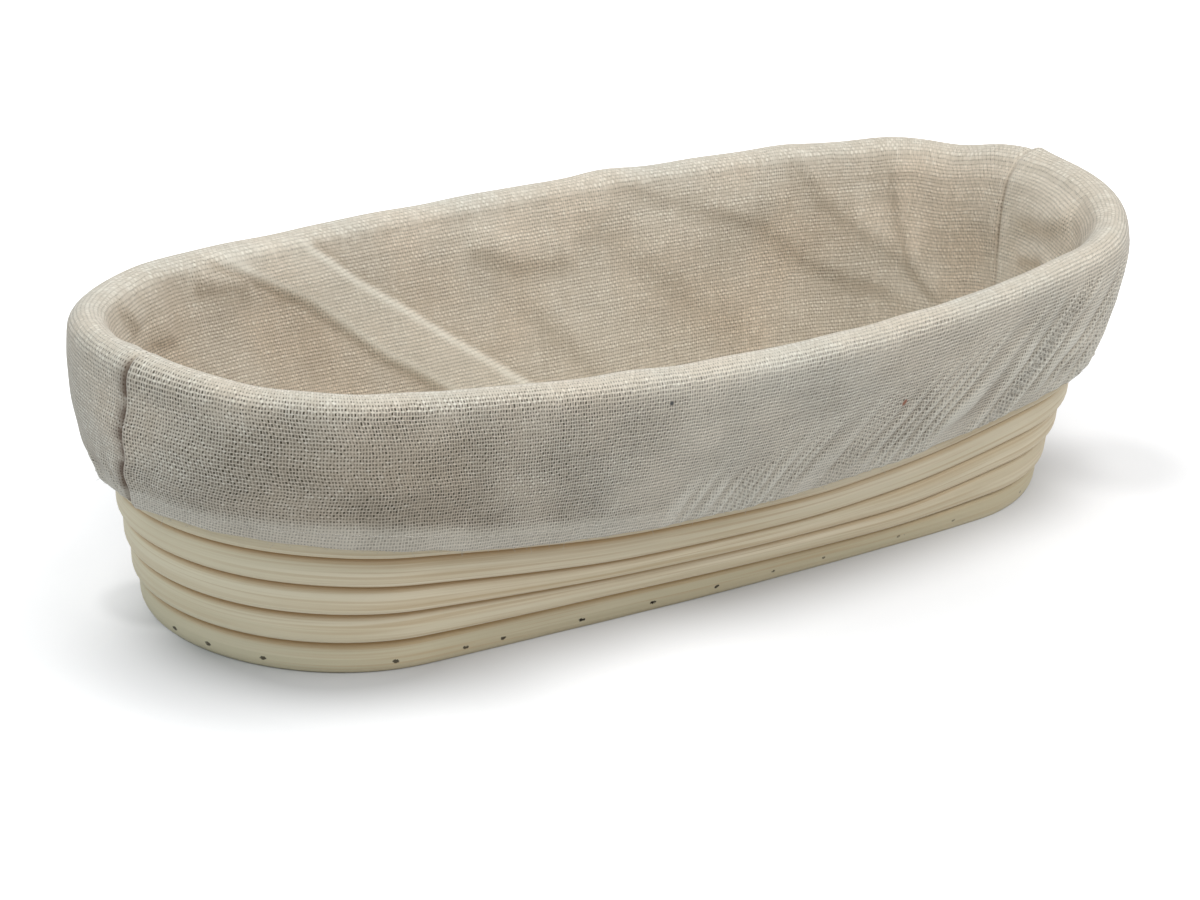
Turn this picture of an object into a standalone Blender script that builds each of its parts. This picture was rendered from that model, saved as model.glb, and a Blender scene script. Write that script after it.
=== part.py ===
"""Oblong proofing basket with a cloth liner turned down over its rim.

The wall is one round cane wound in level courses, each stepping up to the next on the rear side.
The base is a second cane, wound in a flat spiral round a tapered core, and wire staples hold the lowest
course to it. The liner is a bag of two panels with a seam at both ends, and elastic draws in its hem.
Metres, +Z up. The origin is on the floor under the middle, with +X along the basket and -Y its front.
"""

import math

import bmesh
import bpy
import numpy as np
from mathutils import Matrix, Vector

# Cane and its winding
CANE_DIAMETER = 0.0081
TURN_GAP = 0.0006  # clear space between neighbouring turns
COURSES = 10
BASE_LOOPS = 5
FLAT_DEPTH = 0.0005  # how deep the underside is worn flat

# Middle line of the lowest course and of the rim course
BASE_LENGTH = 0.3058
BASE_BOW = 0.0030  # how far the long sides bulge past the round ends
RIM_LENGTH = 0.3494
RIM_WIDTH = 0.1518
RIM_BOW = 0.0138
RIM_RISE = 0.0057  # how much higher the rim is at the ends than at the middle

# Cloth liner
CLOTH = 0.0007
TOUCH = 0.0003  # clear space between pieces that touch
FLOOR_CORNER = 0.0015  # how far the liner's floor stops short of its wall
FLOOR_SHARE = 0.86  # length of the floor's middle seam as a share of the floor
CUFF_BULGE = 0.0020
HEM_HEIGHT = 0.0305  # lower edge of the cuff at the middle of a long side
HEM_END_RISE = 0.0100
HEM_DEPTH = 0.0100  # the part of the cuff that is turned up inside
ELASTIC_WIDTH = 0.0060
ELASTIC_THICKNESS = 0.0007
ELASTIC_CLEARANCE = 0.0006  # room for the elastic in its channel

# Wire staples through the lowest course
STAPLE_CROWN = 0.0050
STAPLE_LEG = 0.0110
STAPLE_WIRE = 0.0008
STAPLE_HEIGHT = 0.0030
STAPLE_CLEARANCE = 0.0003
# Spaces between the front staples from the left end to the right end, in proportion to one another
FRONT_SPACES = (1, 3.5, 4.5, 9.5, 6, 3.5, 7.5, 7, 6.5, 6, 5.5, 8.5, 6.5, 9.5, 8, 7)
REAR_SPACES = (1,) * 13  # the rear staples are evenly spaced

# Points of one turn of the winding
END_STEPS = 8
SIDE_STEPS = 4
TIP_SHARES = (0.25, 0.5, 0.75)
CROWN_STEPS = 6  # facets of the cloth over the rim
CUFF_STEPS = 6

# Names of the outline's four arcs, anticlockwise
REAR, LEFT, FRONT, RIGHT = range(4)

CANE_RADIUS = CANE_DIAMETER / 2
PITCH = CANE_DIAMETER + TURN_GAP
BASE_WIDTH = 2 * PITCH * (BASE_LOOPS + 1)
STATIONS = 2 * (END_STEPS + SIDE_STEPS)
LEFT_APEX = SIDE_STEPS - SIDE_STEPS // 2 + END_STEPS // 2
RIGHT_APEX = LEFT_APEX + STATIONS // 2
COLOURS = {
    "cane": ((0.36, 0.30, 0.20), 0.55, 0.0),
    "linen": ((0.42, 0.37, 0.30), 0.9, 0.0),
    "elastic": ((0.75, 0.73, 0.68), 0.8, 0.0),
    "steel": ((0.10, 0.09, 0.08), 0.45, 1.0),
}


def clear_scene():
    """Remove every object that the file starts with."""
    for obj in list(bpy.data.objects):
        bpy.data.objects.remove(obj, do_unlink=True)


def new_collection(name):
    """Add a collection to the scene and return it."""
    collection = bpy.data.collections.new(name)
    bpy.context.scene.collection.children.link(collection)
    return collection


def material(name):
    """Return the Principled material of that name, made on first use."""
    found = bpy.data.materials.get(name)
    if found:
        return found
    colour, roughness, metallic = COLOURS[name]
    made = bpy.data.materials.new(name)
    made.use_nodes = True
    made.diffuse_color = (*colour, 1.0)
    shader = made.node_tree.nodes["Principled BSDF"]
    shader.inputs["Base Color"].default_value = (*colour, 1.0)
    shader.inputs["Roughness"].default_value = roughness
    shader.inputs["Metallic"].default_value = metallic
    return made


def add_object(name, data, collection, finish=None):
    """Link an object that holds the data, with its material."""
    obj = bpy.data.objects.new(name, data)
    collection.objects.link(obj)
    if finish and not data.materials:
        data.materials.append(material(finish))
    return obj


def station_table():
    """Return each station's arc and its share of that arc, from the middle of the rear side."""
    arcs = []
    shares = []
    for arc, steps in ((REAR, SIDE_STEPS), (LEFT, END_STEPS), (FRONT, SIDE_STEPS), (RIGHT, END_STEPS)):
        arcs += [arc] * steps
        shares += [step / steps for step in range(steps)]
    return np.roll(arcs, -(SIDE_STEPS // 2)), np.roll(shares, -(SIDE_STEPS // 2))


ARCS, SHARES = station_table()


def outline(level, offset=0.0):
    """Return x, y and the outward normal at each station of a course's four-arc oval.

    A level counts courses up from the lowest, and may differ from station to station.
    """
    rise = np.broadcast_to(np.asarray(level, float) / (COURSES - 1), STATIONS)
    length = BASE_LENGTH + (RIM_LENGTH - BASE_LENGTH) * rise
    width = BASE_WIDTH + (RIM_WIDTH - BASE_WIDTH) * rise
    bow = BASE_BOW + (RIM_BOW - BASE_BOW) * rise
    end_radius = width / 2 - bow
    reach = length / 2 - end_radius
    drop = (reach**2 - bow**2) / (2 * bow)
    turn = np.arctan2(drop, reach)
    side_radius = np.hypot(reach, drop) + end_radius
    is_side = (ARCS == REAR) | (ARCS == FRONT)
    angle = np.where(is_side, turn + SHARES * (math.pi - 2 * turn), turn * (2 * SHARES - 1))
    angle = angle + np.select([ARCS == REAR, ARCS == RIGHT], [0.0, 0.0], math.pi)
    middle_x = np.select([ARCS == LEFT, ARCS == RIGHT], [-reach, reach], 0.0)
    middle_y = np.select([ARCS == REAR, ARCS == FRONT], [-drop, drop], 0.0)
    radius = np.where(is_side, side_radius, end_radius) + offset
    normal = np.column_stack([np.cos(angle), np.sin(angle)])
    place = np.column_stack([middle_x, middle_y]) + radius[:, None] * normal
    return place, normal


def end_share(place):
    """Return 0 at the middle of the long sides and 1 at the two ends."""
    return (place[:, 0] / np.abs(place[:, 0]).max()) ** 2


def course_step():
    """Return the rise of one course at the middle of a side that keeps the turns just clear."""
    low, normal = outline(0)
    high, _ = outline(COURSES - 1)
    flare = ((high - low) * normal).sum(axis=1) / (COURSES - 1)
    rise = RIM_RISE * end_share(low) / (COURSES - 1)
    return float((np.sqrt(PITCH**2 - flare**2) - rise).max())


STEP = course_step()
FIRST_HEIGHT = CANE_RADIUS - FLAT_DEPTH
SIDE_TILT = math.atan((RIM_WIDTH - BASE_WIDTH) / 2 / (COURSES - 1) / STEP)
# How far the middle of a cloth layer that lies on the cane is from the cane's middle, measured level
COVER = (CANE_RADIUS + TOUCH + CLOTH / 2) / math.cos(max(SIDE_TILT, math.pi / CROWN_STEPS / 2))


def ring(level, offset=0.0, lift=0.0):
    """Return the points at a level of the wall, moved outwards by offset and up by lift."""
    line, _ = outline(level)
    place, _ = outline(level, offset)
    rise = STEP + RIM_RISE / (COURSES - 1) * end_share(line)
    return np.column_stack([place, FIRST_HEIGHT + level * rise + lift])


def base_ring(level):
    """Return the points of a loop of the base, counted inwards from the lowest course."""
    place, _ = outline(0, -PITCH * (level + 1))
    return np.column_stack([place, np.full(STATIONS, FIRST_HEIGHT)])


def wind(turn_points, turns):
    """Return the points and fullness of one cane, with both tips thinned where turns step over.

    Each turn is level. Between its last station and the next turn's first it moves by one pitch,
    and the tips lie in the wedges that the first and the last of these steps leave.
    """
    points = []
    fullness = []

    def tip(share, full, level):
        line = turn_points(level)
        points.append(line[-1] + (line[0] - line[-1]) * share)
        fullness.append(full)

    for share in TIP_SHARES:
        full = (share * PITCH - TURN_GAP) / CANE_DIAMETER
        tip(share, full, -(1 - full) * CANE_RADIUS / PITCH)
    for turn in range(turns):
        points.extend(turn_points(turn))
        fullness.extend([1.0] * STATIONS)
    for share in TIP_SHARES:
        full = ((1 - share) * PITCH - TURN_GAP) / CANE_DIAMETER
        tip(share, full, turns - 1 + (1 - full) * CANE_RADIUS / PITCH)
    return np.array(points), np.array(fullness)


def least_gap(points, fullness, parts=6):
    """Return the least clear space between stretches of a cane over four diameters apart along it."""
    shares = np.arange(parts)[:, None] / parts
    dense = (points[:-1, None] + (points[1:] - points[:-1])[:, None] * shares).reshape(-1, 3)
    full = (fullness[:-1, None] + np.diff(fullness)[:, None] * shares[:, 0]).reshape(-1)
    along = np.concatenate([[0.0], np.cumsum(np.linalg.norm(np.diff(dense, axis=0), axis=1))])
    apart = np.linalg.norm(dense[:, None] - dense[None], axis=2) - CANE_RADIUS * (full[:, None] + full[None])
    near = np.abs(along[:, None] - along[None]) < 4 * CANE_DIAMETER
    return float(apart[~near].min())


def cane(name, points, fullness, collection):
    """Make a cane along the points as a mesh, so that it can be cut."""
    curve = bpy.data.curves.new(name + "_line", "CURVE")
    curve.dimensions = "3D"
    curve.twist_mode = "Z_UP"
    curve.bevel_depth = CANE_RADIUS
    curve.bevel_resolution = 1
    curve.use_fill_caps = True
    spline = curve.splines.new("POLY")
    spline.points.add(len(points) - 1)
    for target, place, full in zip(spline.points, points, fullness):
        target.co = (*place, 1.0)
        target.radius = full
        target.tilt = math.pi / 2
    guide = add_object(name + "_guide", curve, collection)
    bpy.context.view_layer.update()
    mesh = bpy.data.meshes.new_from_object(guide.evaluated_get(bpy.context.evaluated_depsgraph_get()))
    bpy.data.objects.remove(guide, do_unlink=True)
    work = bmesh.new()
    work.from_mesh(mesh)
    bmesh.ops.remove_doubles(work, verts=work.verts, dist=1e-6)
    work.to_mesh(mesh)
    work.free()
    mesh.name = name
    mesh.shade_smooth()
    return add_object(name, mesh, collection, "cane")


def cut(obj, cutter):
    """Cut the shape of another object out of this one."""
    step = obj.modifiers.new("cut_" + cutter.name, "BOOLEAN")
    step.operation = "DIFFERENCE"
    step.object = cutter


def hide_cutter(obj):
    """Mark a helper that only cuts other pieces."""
    obj.hide_render = True
    obj.display_type = "WIRE"
    return obj


def add_box(work, size, matrix):
    """Add a box of that size to the mesh being made, placed by the matrix."""
    bmesh.ops.create_cube(work, size=1.0, matrix=matrix @ Matrix.Diagonal((*size, 1.0)))


def floor_cutter(collection):
    """Make the slab under the floor that wears the lowest canes flat."""
    work = bmesh.new()
    depth = CANE_DIAMETER
    add_box(work, (2 * BASE_LENGTH, 2 * BASE_LENGTH, depth), Matrix.Translation((0, 0, -depth / 2)))
    mesh = bpy.data.meshes.new("floor_cutter")
    work.to_mesh(mesh)
    work.free()
    return hide_cutter(add_object("floor_cutter", mesh, collection))


def half_run(line, start):
    """Return the half turn of points that begins at a station, both ends included."""
    return np.take(line, np.arange(start, start + STATIONS // 2 + 1), axis=0, mode="wrap")


def staple_frames():
    """Return a matrix for each staple: X along the cane, Y out of it, at the middle of the lowest course."""
    lowest = ring(0)
    frames = []
    for start, spaces in ((LEFT_APEX, FRONT_SPACES), (RIGHT_APEX, REAR_SPACES)):
        shares = np.cumsum(spaces)[:-1] / np.sum(spaces)
        run = half_run(lowest, start)
        along = np.concatenate([[0.0], np.cumsum(np.linalg.norm(np.diff(run, axis=0), axis=1))])
        step_over = range(STATIONS - 1 - start, STATIONS - start)
        for share in shares:
            segment = int(np.searchsorted(along, share * along[-1], side="right")) - 1
            if segment in step_over:
                continue
            part = (share * along[-1] - along[segment]) / (along[segment + 1] - along[segment])
            tangent = Vector(run[segment + 1] - run[segment]).normalized()
            outwards = tangent.cross(Vector((0, 0, 1))).normalized()
            upwards = outwards.cross(tangent) * -1
            place = Vector(run[segment] + (run[segment + 1] - run[segment]) * part)
            place.z = STAPLE_HEIGHT
            rotation = Matrix((tangent, outwards, upwards)).transposed().to_4x4()
            frames.append(Matrix.Translation(place) @ rotation)
    return frames


def staple_slots(frames, collection):
    """Make the slots that the staples are driven through, as one cutter."""
    work = bmesh.new()
    depth = STAPLE_LEG + STAPLE_CLEARANCE + CANE_DIAMETER
    size = (STAPLE_CROWN + 2 * STAPLE_CLEARANCE, depth, STAPLE_WIRE + 2 * STAPLE_CLEARANCE)
    inner_end = CANE_RADIUS - STAPLE_LEG - STAPLE_CLEARANCE
    for frame in frames:
        add_box(work, size, frame @ Matrix.Translation((0, inner_end + depth / 2, 0)))
    mesh = bpy.data.meshes.new("staple_slots")
    work.to_mesh(mesh)
    work.free()
    return hide_cutter(add_object("staple_slots", mesh, collection))


def staple_shape():
    """Return the flat U of a staple, its crown level with the outside of the cane."""
    half = STAPLE_CROWN / 2
    inner = half - STAPLE_WIRE
    crown = CANE_RADIUS - STAPLE_WIRE
    tip = CANE_RADIUS - STAPLE_LEG
    corners = (
        (-half, tip),
        (-inner, tip),
        (-inner, crown),
        (inner, crown),
        (inner, tip),
        (half, tip),
        (half, CANE_RADIUS),
        (-half, CANE_RADIUS),
    )
    curve = bpy.data.curves.new("staple", "CURVE")
    curve.dimensions = "2D"
    curve.fill_mode = "BOTH"
    curve.extrude = STAPLE_WIRE / 2
    spline = curve.splines.new("POLY")
    spline.points.add(len(corners) - 1)
    for target, (x, y) in zip(spline.points, corners):
        target.co = (x, y, 0.0, 1.0)
    spline.use_cyclic_u = True
    return curve


def add_staples(frames, collection):
    """Drive a staple at each frame."""
    shape = staple_shape()
    for number, frame in enumerate(frames, start=1):
        staple = add_object(f"staple_{number:02d}", shape, collection, "steel")
        staple.matrix_world = frame


def base_core(collection):
    """Make the straight core of the base, thinned towards its ends as the innermost loop closes on it."""
    inner = half_run(base_ring(BASE_LOOPS - 1), LEFT_APEX)
    side = inner[END_STEPS // 2 : END_STEPS // 2 + SIDE_STEPS + 1]
    room = np.abs(side[:, 1]) - CANE_RADIUS - TURN_GAP
    line = np.column_stack([side[:, 0], np.zeros(len(side)), room - FLAT_DEPTH])
    return cane("base_core", line, room / CANE_RADIUS, collection)


def loft(name, rows, finish, thickness, collection, closed=False):
    """Make a sheet through rows of points and give it its thickness."""
    work = bmesh.new()
    lines = [[work.verts.new(place) for place in row] for row in rows]
    count = len(lines[0])
    for low, high in zip(lines, lines[1:]):
        for step in range(count if closed else count - 1):
            after = (step + 1) % count
            work.faces.new((low[step], low[after], high[after], high[step]))
    bmesh.ops.recalc_face_normals(work, faces=work.faces)
    mesh = bpy.data.meshes.new(name)
    work.to_mesh(mesh)
    work.free()
    mesh.shade_smooth()
    sheet = add_object(name, mesh, collection, finish)
    shell = sheet.modifiers.new("thickness", "SOLIDIFY")
    shell.thickness = thickness
    shell.offset = 0.0
    shell.use_even_offset = True
    return sheet


def half_sheet(rows, start):
    """Return the half of closed rows that begins at an apex, kept clear of the other half at the seam."""
    side = -1 if start == LEFT_APEX else 1
    halves = [half_run(row, start) for row in rows]
    for row in halves:
        row[:, 1] = side * np.maximum(side * row[:, 1], TOUCH / 2)
    return halves


def bag_rows():
    """Return the liner's rows, from the outside of the rim over it, down the wall and in to the seam."""
    top = COURSES - 1
    rows = []
    for step in range(CROWN_STEPS + 1):
        angle = math.pi * step / CROWN_STEPS
        rows.append(ring(top, COVER * math.cos(angle), COVER * math.sin(angle)))
    rows += [ring(level, -COVER) for level in range(top - 1, 0, -1)]
    floor = CANE_DIAMETER - FLAT_DEPTH + TOUCH + CLOTH / 2
    edge, _ = outline(0, -COVER - FLOOR_CORNER)
    seam = edge * (FLOOR_SHARE, 0.0)
    for share in (0.0, 0.5, 1.0):
        flat = edge + (seam - edge) * share
        rows.append(np.column_stack([flat, np.full(STATIONS, floor)]))
    return rows


def hem_level(height):
    """Return each station's level at a height over the hem's lower edge."""
    line, _ = outline(0)
    target = HEM_HEIGHT + HEM_END_RISE * end_share(line) + height
    return (target - FIRST_HEIGHT) / (STEP + RIM_RISE / (COURSES - 1) * end_share(line))


HEM_INNER = COVER
HEM_OUTER = COVER + CLOTH + 2 * ELASTIC_CLEARANCE + ELASTIC_THICKNESS
FOLD_RADIUS = (HEM_OUTER - HEM_INNER) / 2
CHANNEL_FOOT = FOLD_RADIUS + CLOTH / 2  # height of the channel's straight part over the lower edge


def cuff_rows():
    """Return the turned-down rows from the rim to the hem, round its fold and up the inside."""
    top = np.full(STATIONS, COURSES - 1.0)
    channel_top = hem_level(HEM_DEPTH)
    rows = [ring(COURSES - 1, COVER, -TOUCH - CLOTH / 2)]
    for step in range(1, CUFF_STEPS + 1):
        share = step / CUFF_STEPS
        offset = COVER + (HEM_OUTER - COVER) * share + CUFF_BULGE * math.sin(math.pi * share)
        rows.append(ring(top + (channel_top - top) * share, offset))
    middle = (HEM_INNER + HEM_OUTER) / 2
    for degrees in (0, 45, 90, 135, 180):
        angle = math.radians(degrees)
        level = hem_level(CHANNEL_FOOT - FOLD_RADIUS * math.sin(angle))
        rows.append(ring(level, middle + FOLD_RADIUS * math.cos(angle)))
    rows.append(ring(channel_top, HEM_INNER))
    return rows


def elastic_rows():
    """Return the lower and the upper edge of the elastic in the hem."""
    middle = (HEM_INNER + HEM_OUTER) / 2
    return [ring(hem_level(CHANNEL_FOOT + height), middle) for height in (0.0, ELASTIC_WIDTH)]


def build_frame(collection, cutters):
    """Wind the wall and the base and staple them together."""
    frames = staple_frames()
    floor = floor_cutter(cutters)
    slots = staple_slots(frames, cutters)
    for name, turn_points, turns in (("wall_cane", ring, COURSES), ("base_cane", base_ring, BASE_LOOPS)):
        points, fullness = wind(turn_points, turns)
        print(f"{name}: least gap to itself {least_gap(points, fullness) * 1000:.2f} mm")
        winding = cane(name, points, fullness, collection)
        cut(winding, floor)
        cut(winding, slots)
    cut(base_core(collection), floor)
    add_staples(frames, collection)


def build_liner(collection):
    """Make the liner's panels, its turned-down cuff and the elastic, under one empty that lifts them."""
    lift = bpy.data.objects.new("liner_lift", None)
    collection.objects.link(lift)
    pieces = []
    for side, start in (("front", LEFT_APEX), ("rear", RIGHT_APEX)):
        pieces.append(loft(f"liner_{side}", half_sheet(bag_rows(), start), "linen", CLOTH, collection))
        pieces.append(loft(f"cuff_{side}", half_sheet(cuff_rows(), start), "linen", CLOTH, collection))
    pieces.append(loft("hem_elastic", elastic_rows(), "elastic", ELASTIC_THICKNESS, collection, closed=True))
    for piece in pieces:
        piece.parent = lift


def main():
    """Build the basket."""
    clear_scene()
    parts = new_collection("proofing_basket")
    cutters = new_collection("cutters")
    build_frame(parts, cutters)
    build_liner(parts)


main()
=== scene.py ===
"""Looks of an oblong proofing basket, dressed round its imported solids.

A pale cane is wound in ten courses round a spiral base and stapled to it. A linen liner of two panels
lines the basket, turns down over the rim and is drawn in at its hem by elastic.
Metres, +Z up, +X along the basket and -Y its front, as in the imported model.
"""

import logging
import math
from dataclasses import dataclass, field
from enum import Enum, IntEnum
from functools import cached_property

import bmesh
import bpy
import numpy as np
from mathutils import Matrix, Vector


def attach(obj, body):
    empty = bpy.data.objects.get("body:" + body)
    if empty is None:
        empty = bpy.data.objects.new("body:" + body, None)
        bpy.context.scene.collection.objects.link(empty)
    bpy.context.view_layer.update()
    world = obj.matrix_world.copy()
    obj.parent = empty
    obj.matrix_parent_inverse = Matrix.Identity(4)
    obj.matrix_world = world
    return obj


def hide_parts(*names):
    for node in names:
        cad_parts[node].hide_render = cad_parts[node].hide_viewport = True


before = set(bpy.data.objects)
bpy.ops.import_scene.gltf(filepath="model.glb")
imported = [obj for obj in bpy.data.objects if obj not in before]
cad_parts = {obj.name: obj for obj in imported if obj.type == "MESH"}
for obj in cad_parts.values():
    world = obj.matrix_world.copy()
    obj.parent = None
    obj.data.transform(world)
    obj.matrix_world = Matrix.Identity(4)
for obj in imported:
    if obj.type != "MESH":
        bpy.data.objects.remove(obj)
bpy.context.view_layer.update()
LOG = logging.getLogger("proofing_basket")

Grid = np.ndarray
Triple = tuple[float, float, float]
Colour = Triple
Line = tuple[tuple[float, float], ...]
Socket = bpy.types.NodeSocket
Input = Socket | float | Triple


class Side(Enum):
    """The two long sides of the basket, as the sign that leads from the left end round to them."""

    FRONT = 1
    REAR = -1


class Slot(Enum):
    """The record's material slots."""

    CANE = "cane"
    LINEN = "linen"
    ELASTIC = "elastic"
    STEEL = "steel"


class Seed(IntEnum):
    """Start of each random draw."""

    CANE = 3
    FRONT_RELIEF = 11
    REAR_RELIEF = 23
    FRONT_GATHERS = 31
    REAR_GATHERS = 37
    STITCHES = 41
    FRONT_LINT = 43
    REAR_LINT = 47
    WEAVE = 53
    SEAM = 59


def smooth_step(low: float, high: float, value: Grid) -> Grid:
    """Return 0 below low and 1 above high, with a soft S between them. High may be the lesser one."""
    share = np.clip((value - low) / (high - low), 0.0, 1.0)
    return share * share * (3 - 2 * share)


def softened(share: Grid, knots: tuple[float, ...], values: tuple[float, ...]) -> Grid:
    """Return values between knots, from 0 to 1, with the corners smoothed over a tenth of the way."""
    fine = np.linspace(0, 1, 201)
    window = np.hanning(23)
    line = np.pad(np.interp(fine, knots, values), len(window) // 2, mode="edge")
    return np.interp(share, fine, np.convolve(line, window / window.sum(), mode="valid"))


def bell(value: Grid, width: Grid | float) -> Grid:
    """Return a bell curve that is 1 at zero and 1/e at the width."""
    return np.exp(-((value / width) ** 2))


def ripples(seed: int, across: Grid, along: Grid, shortest: float, longest: float, waves: int = 28) -> Grid:
    """Return a smooth random field: a sum of plane waves of random direction, length and phase.

    Args:
        seed: Start of the random draw.
        across: First coordinate of each point, in metres.
        along: Second coordinate of each point, in metres.
        shortest: Shortest wave length.
        longest: Longest wave length.
        waves: Number of waves.

    Returns:
        The field with a spread of about one.
    """
    draw = np.random.default_rng(seed)
    shape = (waves,) + (1,) * np.ndim(across)
    heading = draw.uniform(0, 2 * math.pi, shape)
    number = 2 * math.pi / np.exp(draw.uniform(math.log(shortest), math.log(longest), shape))
    phase = draw.uniform(0, 2 * math.pi, shape)
    place = across[None] * np.cos(heading) + along[None] * np.sin(heading)
    return np.sin(number * place + phase).sum(axis=0) * math.sqrt(2 / waves)


def grid_normals(points: Grid) -> Grid:
    """Return unit normals of a grid, as the cross product of its column and row directions."""
    down, across = np.gradient(points, axis=(0, 1))
    normal = np.cross(across, down)
    return normal / np.maximum(np.linalg.norm(normal, axis=2, keepdims=True), 1e-12)


def run_lengths(points: Grid, axis: int) -> Grid:
    """Return the length travelled along an axis of a grid of points, starting at zero."""
    steps = np.linalg.norm(np.diff(points, axis=axis), axis=2)
    widths = [(0, 0), (0, 0)]
    widths[axis] = (1, 0)
    return np.pad(np.cumsum(steps, axis=axis), widths)


@dataclass(frozen=True)
class Shell:
    """Shape that the winding and the liner share: four-arc ovals that widen from course to course.

    An arc number runs anticlockwise: 0 to 1 along the rear, to 2 round the left end, to 3 along the
    front and to 4 round the right end. A level counts courses up from the lowest.
    """

    cane: float = 0.0081
    turn_gap: float = 0.0006
    courses: int = 10
    base_loops: int = 5
    flat_depth: float = 0.0005
    base_length: float = 0.3058
    base_bow: float = 0.0030
    rim_length: float = 0.3494
    rim_width: float = 0.1518
    rim_bow: float = 0.0138
    rim_rise: float = 0.0057
    cloth: float = 0.0007
    touch: float = 0.0003
    # Arc number, width and height of each swell of the hand-wound wall
    swells: tuple[Triple, ...] = (
        (0.60, 0.45, -0.0008),
        (1.18, 0.14, -0.0020),
        (3.50, 0.20, 0.0016),
        (3.72, 0.07, -0.0020),
        (3.93, 0.10, -0.0014),
    )
    # Arc number, width, depth and height in levels of the place where the foot is pressed in
    pressed: tuple[float, float, float, float] = (3.12, 0.14, 0.0014, 5.0)

    @property
    def radius(self) -> float:
        """Half the cane's thickness."""
        return self.cane / 2

    @property
    def pitch(self) -> float:
        """Distance from turn to turn."""
        return self.cane + self.turn_gap

    @property
    def top(self) -> int:
        """Level of the rim course."""
        return self.courses - 1

    @property
    def base_width(self) -> float:
        """Width of the lowest course's middle line."""
        return 2 * self.pitch * (self.base_loops + 1)

    @property
    def first_height(self) -> float:
        """Height of the lowest course's middle line."""
        return self.radius - self.flat_depth

    @cached_property
    def step(self) -> float:
        """Rise of one course at the middle of a side, which keeps the turns just clear."""
        arc = np.linspace(0, 4, 400, endpoint=False)
        low, normal, share = self.outline(np.zeros_like(arc), arc)
        high, _, _ = self.outline(np.full_like(arc, self.top), arc)
        flare = ((high - low) * normal).sum(axis=-1) / self.top
        return float((np.sqrt(self.pitch**2 - flare**2) - self.rim_rise * share / self.top).max())

    @cached_property
    def cover(self) -> float:
        """Level distance from the cane's middle to the middle of a cloth that lies on it."""
        tilt = math.atan((self.rim_width - self.base_width) / 2 / self.top / self.step)
        return (self.radius + self.touch + self.cloth / 2) / math.cos(tilt)

    @property
    def flare(self) -> float:
        """How far a course lies outside the one below it."""
        return (self.rim_length - self.base_length) / 2 / self.top

    def oval(self, level: Grid) -> tuple[Grid, ...]:
        """Return length, end radius, reach, drop, turn and side radius of the oval at each level."""
        rise = np.asarray(level, float) / self.top
        length = self.base_length + (self.rim_length - self.base_length) * rise
        width = self.base_width + (self.rim_width - self.base_width) * rise
        bow = self.base_bow + (self.rim_bow - self.base_bow) * rise
        end_radius = width / 2 - bow
        reach = length / 2 - end_radius
        drop = (reach**2 - bow**2) / (2 * bow)
        turn = np.arctan2(drop, reach)
        return length, end_radius, reach, drop, turn, np.hypot(reach, drop) + end_radius

    def outline(self, level: Grid, arc: Grid, offset: Grid = 0.0) -> tuple[Grid, Grid, Grid]:
        """Place points on the ovals: each arc's middle plus its radius along the outward normal.

        Args:
            level: Level of each point.
            arc: Arc number of each point.
            offset: How far the point lies outside the oval.

        Returns:
            The points, their outward normals, and 0 at mid-side to 1 at the ends.
        """
        length, end_radius, reach, drop, turn, side_radius = self.oval(level)
        number = np.floor(arc)
        share = arc - number
        number = number % 4
        is_side = number % 2 == 0
        angle = np.where(is_side, turn + share * (math.pi - 2 * turn), turn * (2 * share - 1))
        angle = angle + np.where((number == 0) | (number == 3), 0.0, math.pi)
        middle_x = np.select([number == 1, number == 3], [-reach, reach], 0.0)
        middle_y = np.select([number == 0, number == 2], [-drop, drop], 0.0)
        radius = np.where(is_side, side_radius, end_radius)
        normal = np.stack(np.broadcast_arrays(np.cos(angle), np.sin(angle)), axis=-1)
        middle = np.stack(np.broadcast_arrays(middle_x, middle_y), axis=-1)
        end_share = ((middle_x + radius * np.cos(angle)) / (length / 2)) ** 2
        return middle + (radius + offset)[..., None] * normal, normal, end_share

    def rise(self, end_share: Grid) -> Grid:
        """Return the height of one level, which is larger towards the ends."""
        return self.step + self.rim_rise / self.top * end_share

    def place(self, level: Grid, arc: Grid, offset: Grid = 0.0, lift: Grid = 0.0) -> Grid:
        """Return points at a level of the wall, moved outwards by offset and up by lift."""
        level, arc, offset, lift = np.broadcast_arrays(
            *(np.asarray(part, float) for part in (level, arc, offset, lift))
        )
        flat, _, end_share = self.outline(level, arc, offset)
        height = self.first_height + level * self.rise(end_share) + lift + self.sway(level, arc)
        return np.concatenate([flat, height[..., None]], axis=-1)

    @staticmethod
    def past(arc: Grid, middle: float) -> Grid:
        """Return how far an arc number lies past a middle one, the short way round."""
        return (arc - middle + 2) % 4 - 2

    def sway(self, level: Grid, arc: Grid) -> Grid:
        """Return how much higher the hand-wound wall is at its swells, and more so towards the rim."""
        share = np.clip(level / self.top, 0.0, 1.2) ** 2
        return share * sum(high * bell(self.past(arc, middle), width) for middle, width, high in self.swells)

    def dent(self, level: Grid, arc: Grid) -> Grid:
        """Return how far the foot of the wall is pressed in at its front right corner."""
        middle, width, depth, reach = self.pressed
        return depth * bell(self.past(arc, middle), width) * smooth_step(reach, 0.0, level)

    def half_lengths(self, level: float) -> Grid:
        """Return the length run from the left end to each change of arc on one side, at a level."""
        _, end_radius, _, _, turn, side_radius = self.oval(level)
        end = float(end_radius * turn)
        side = float(side_radius * (math.pi - 2 * turn))
        return np.cumsum([0.0, end, side, end])

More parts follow.
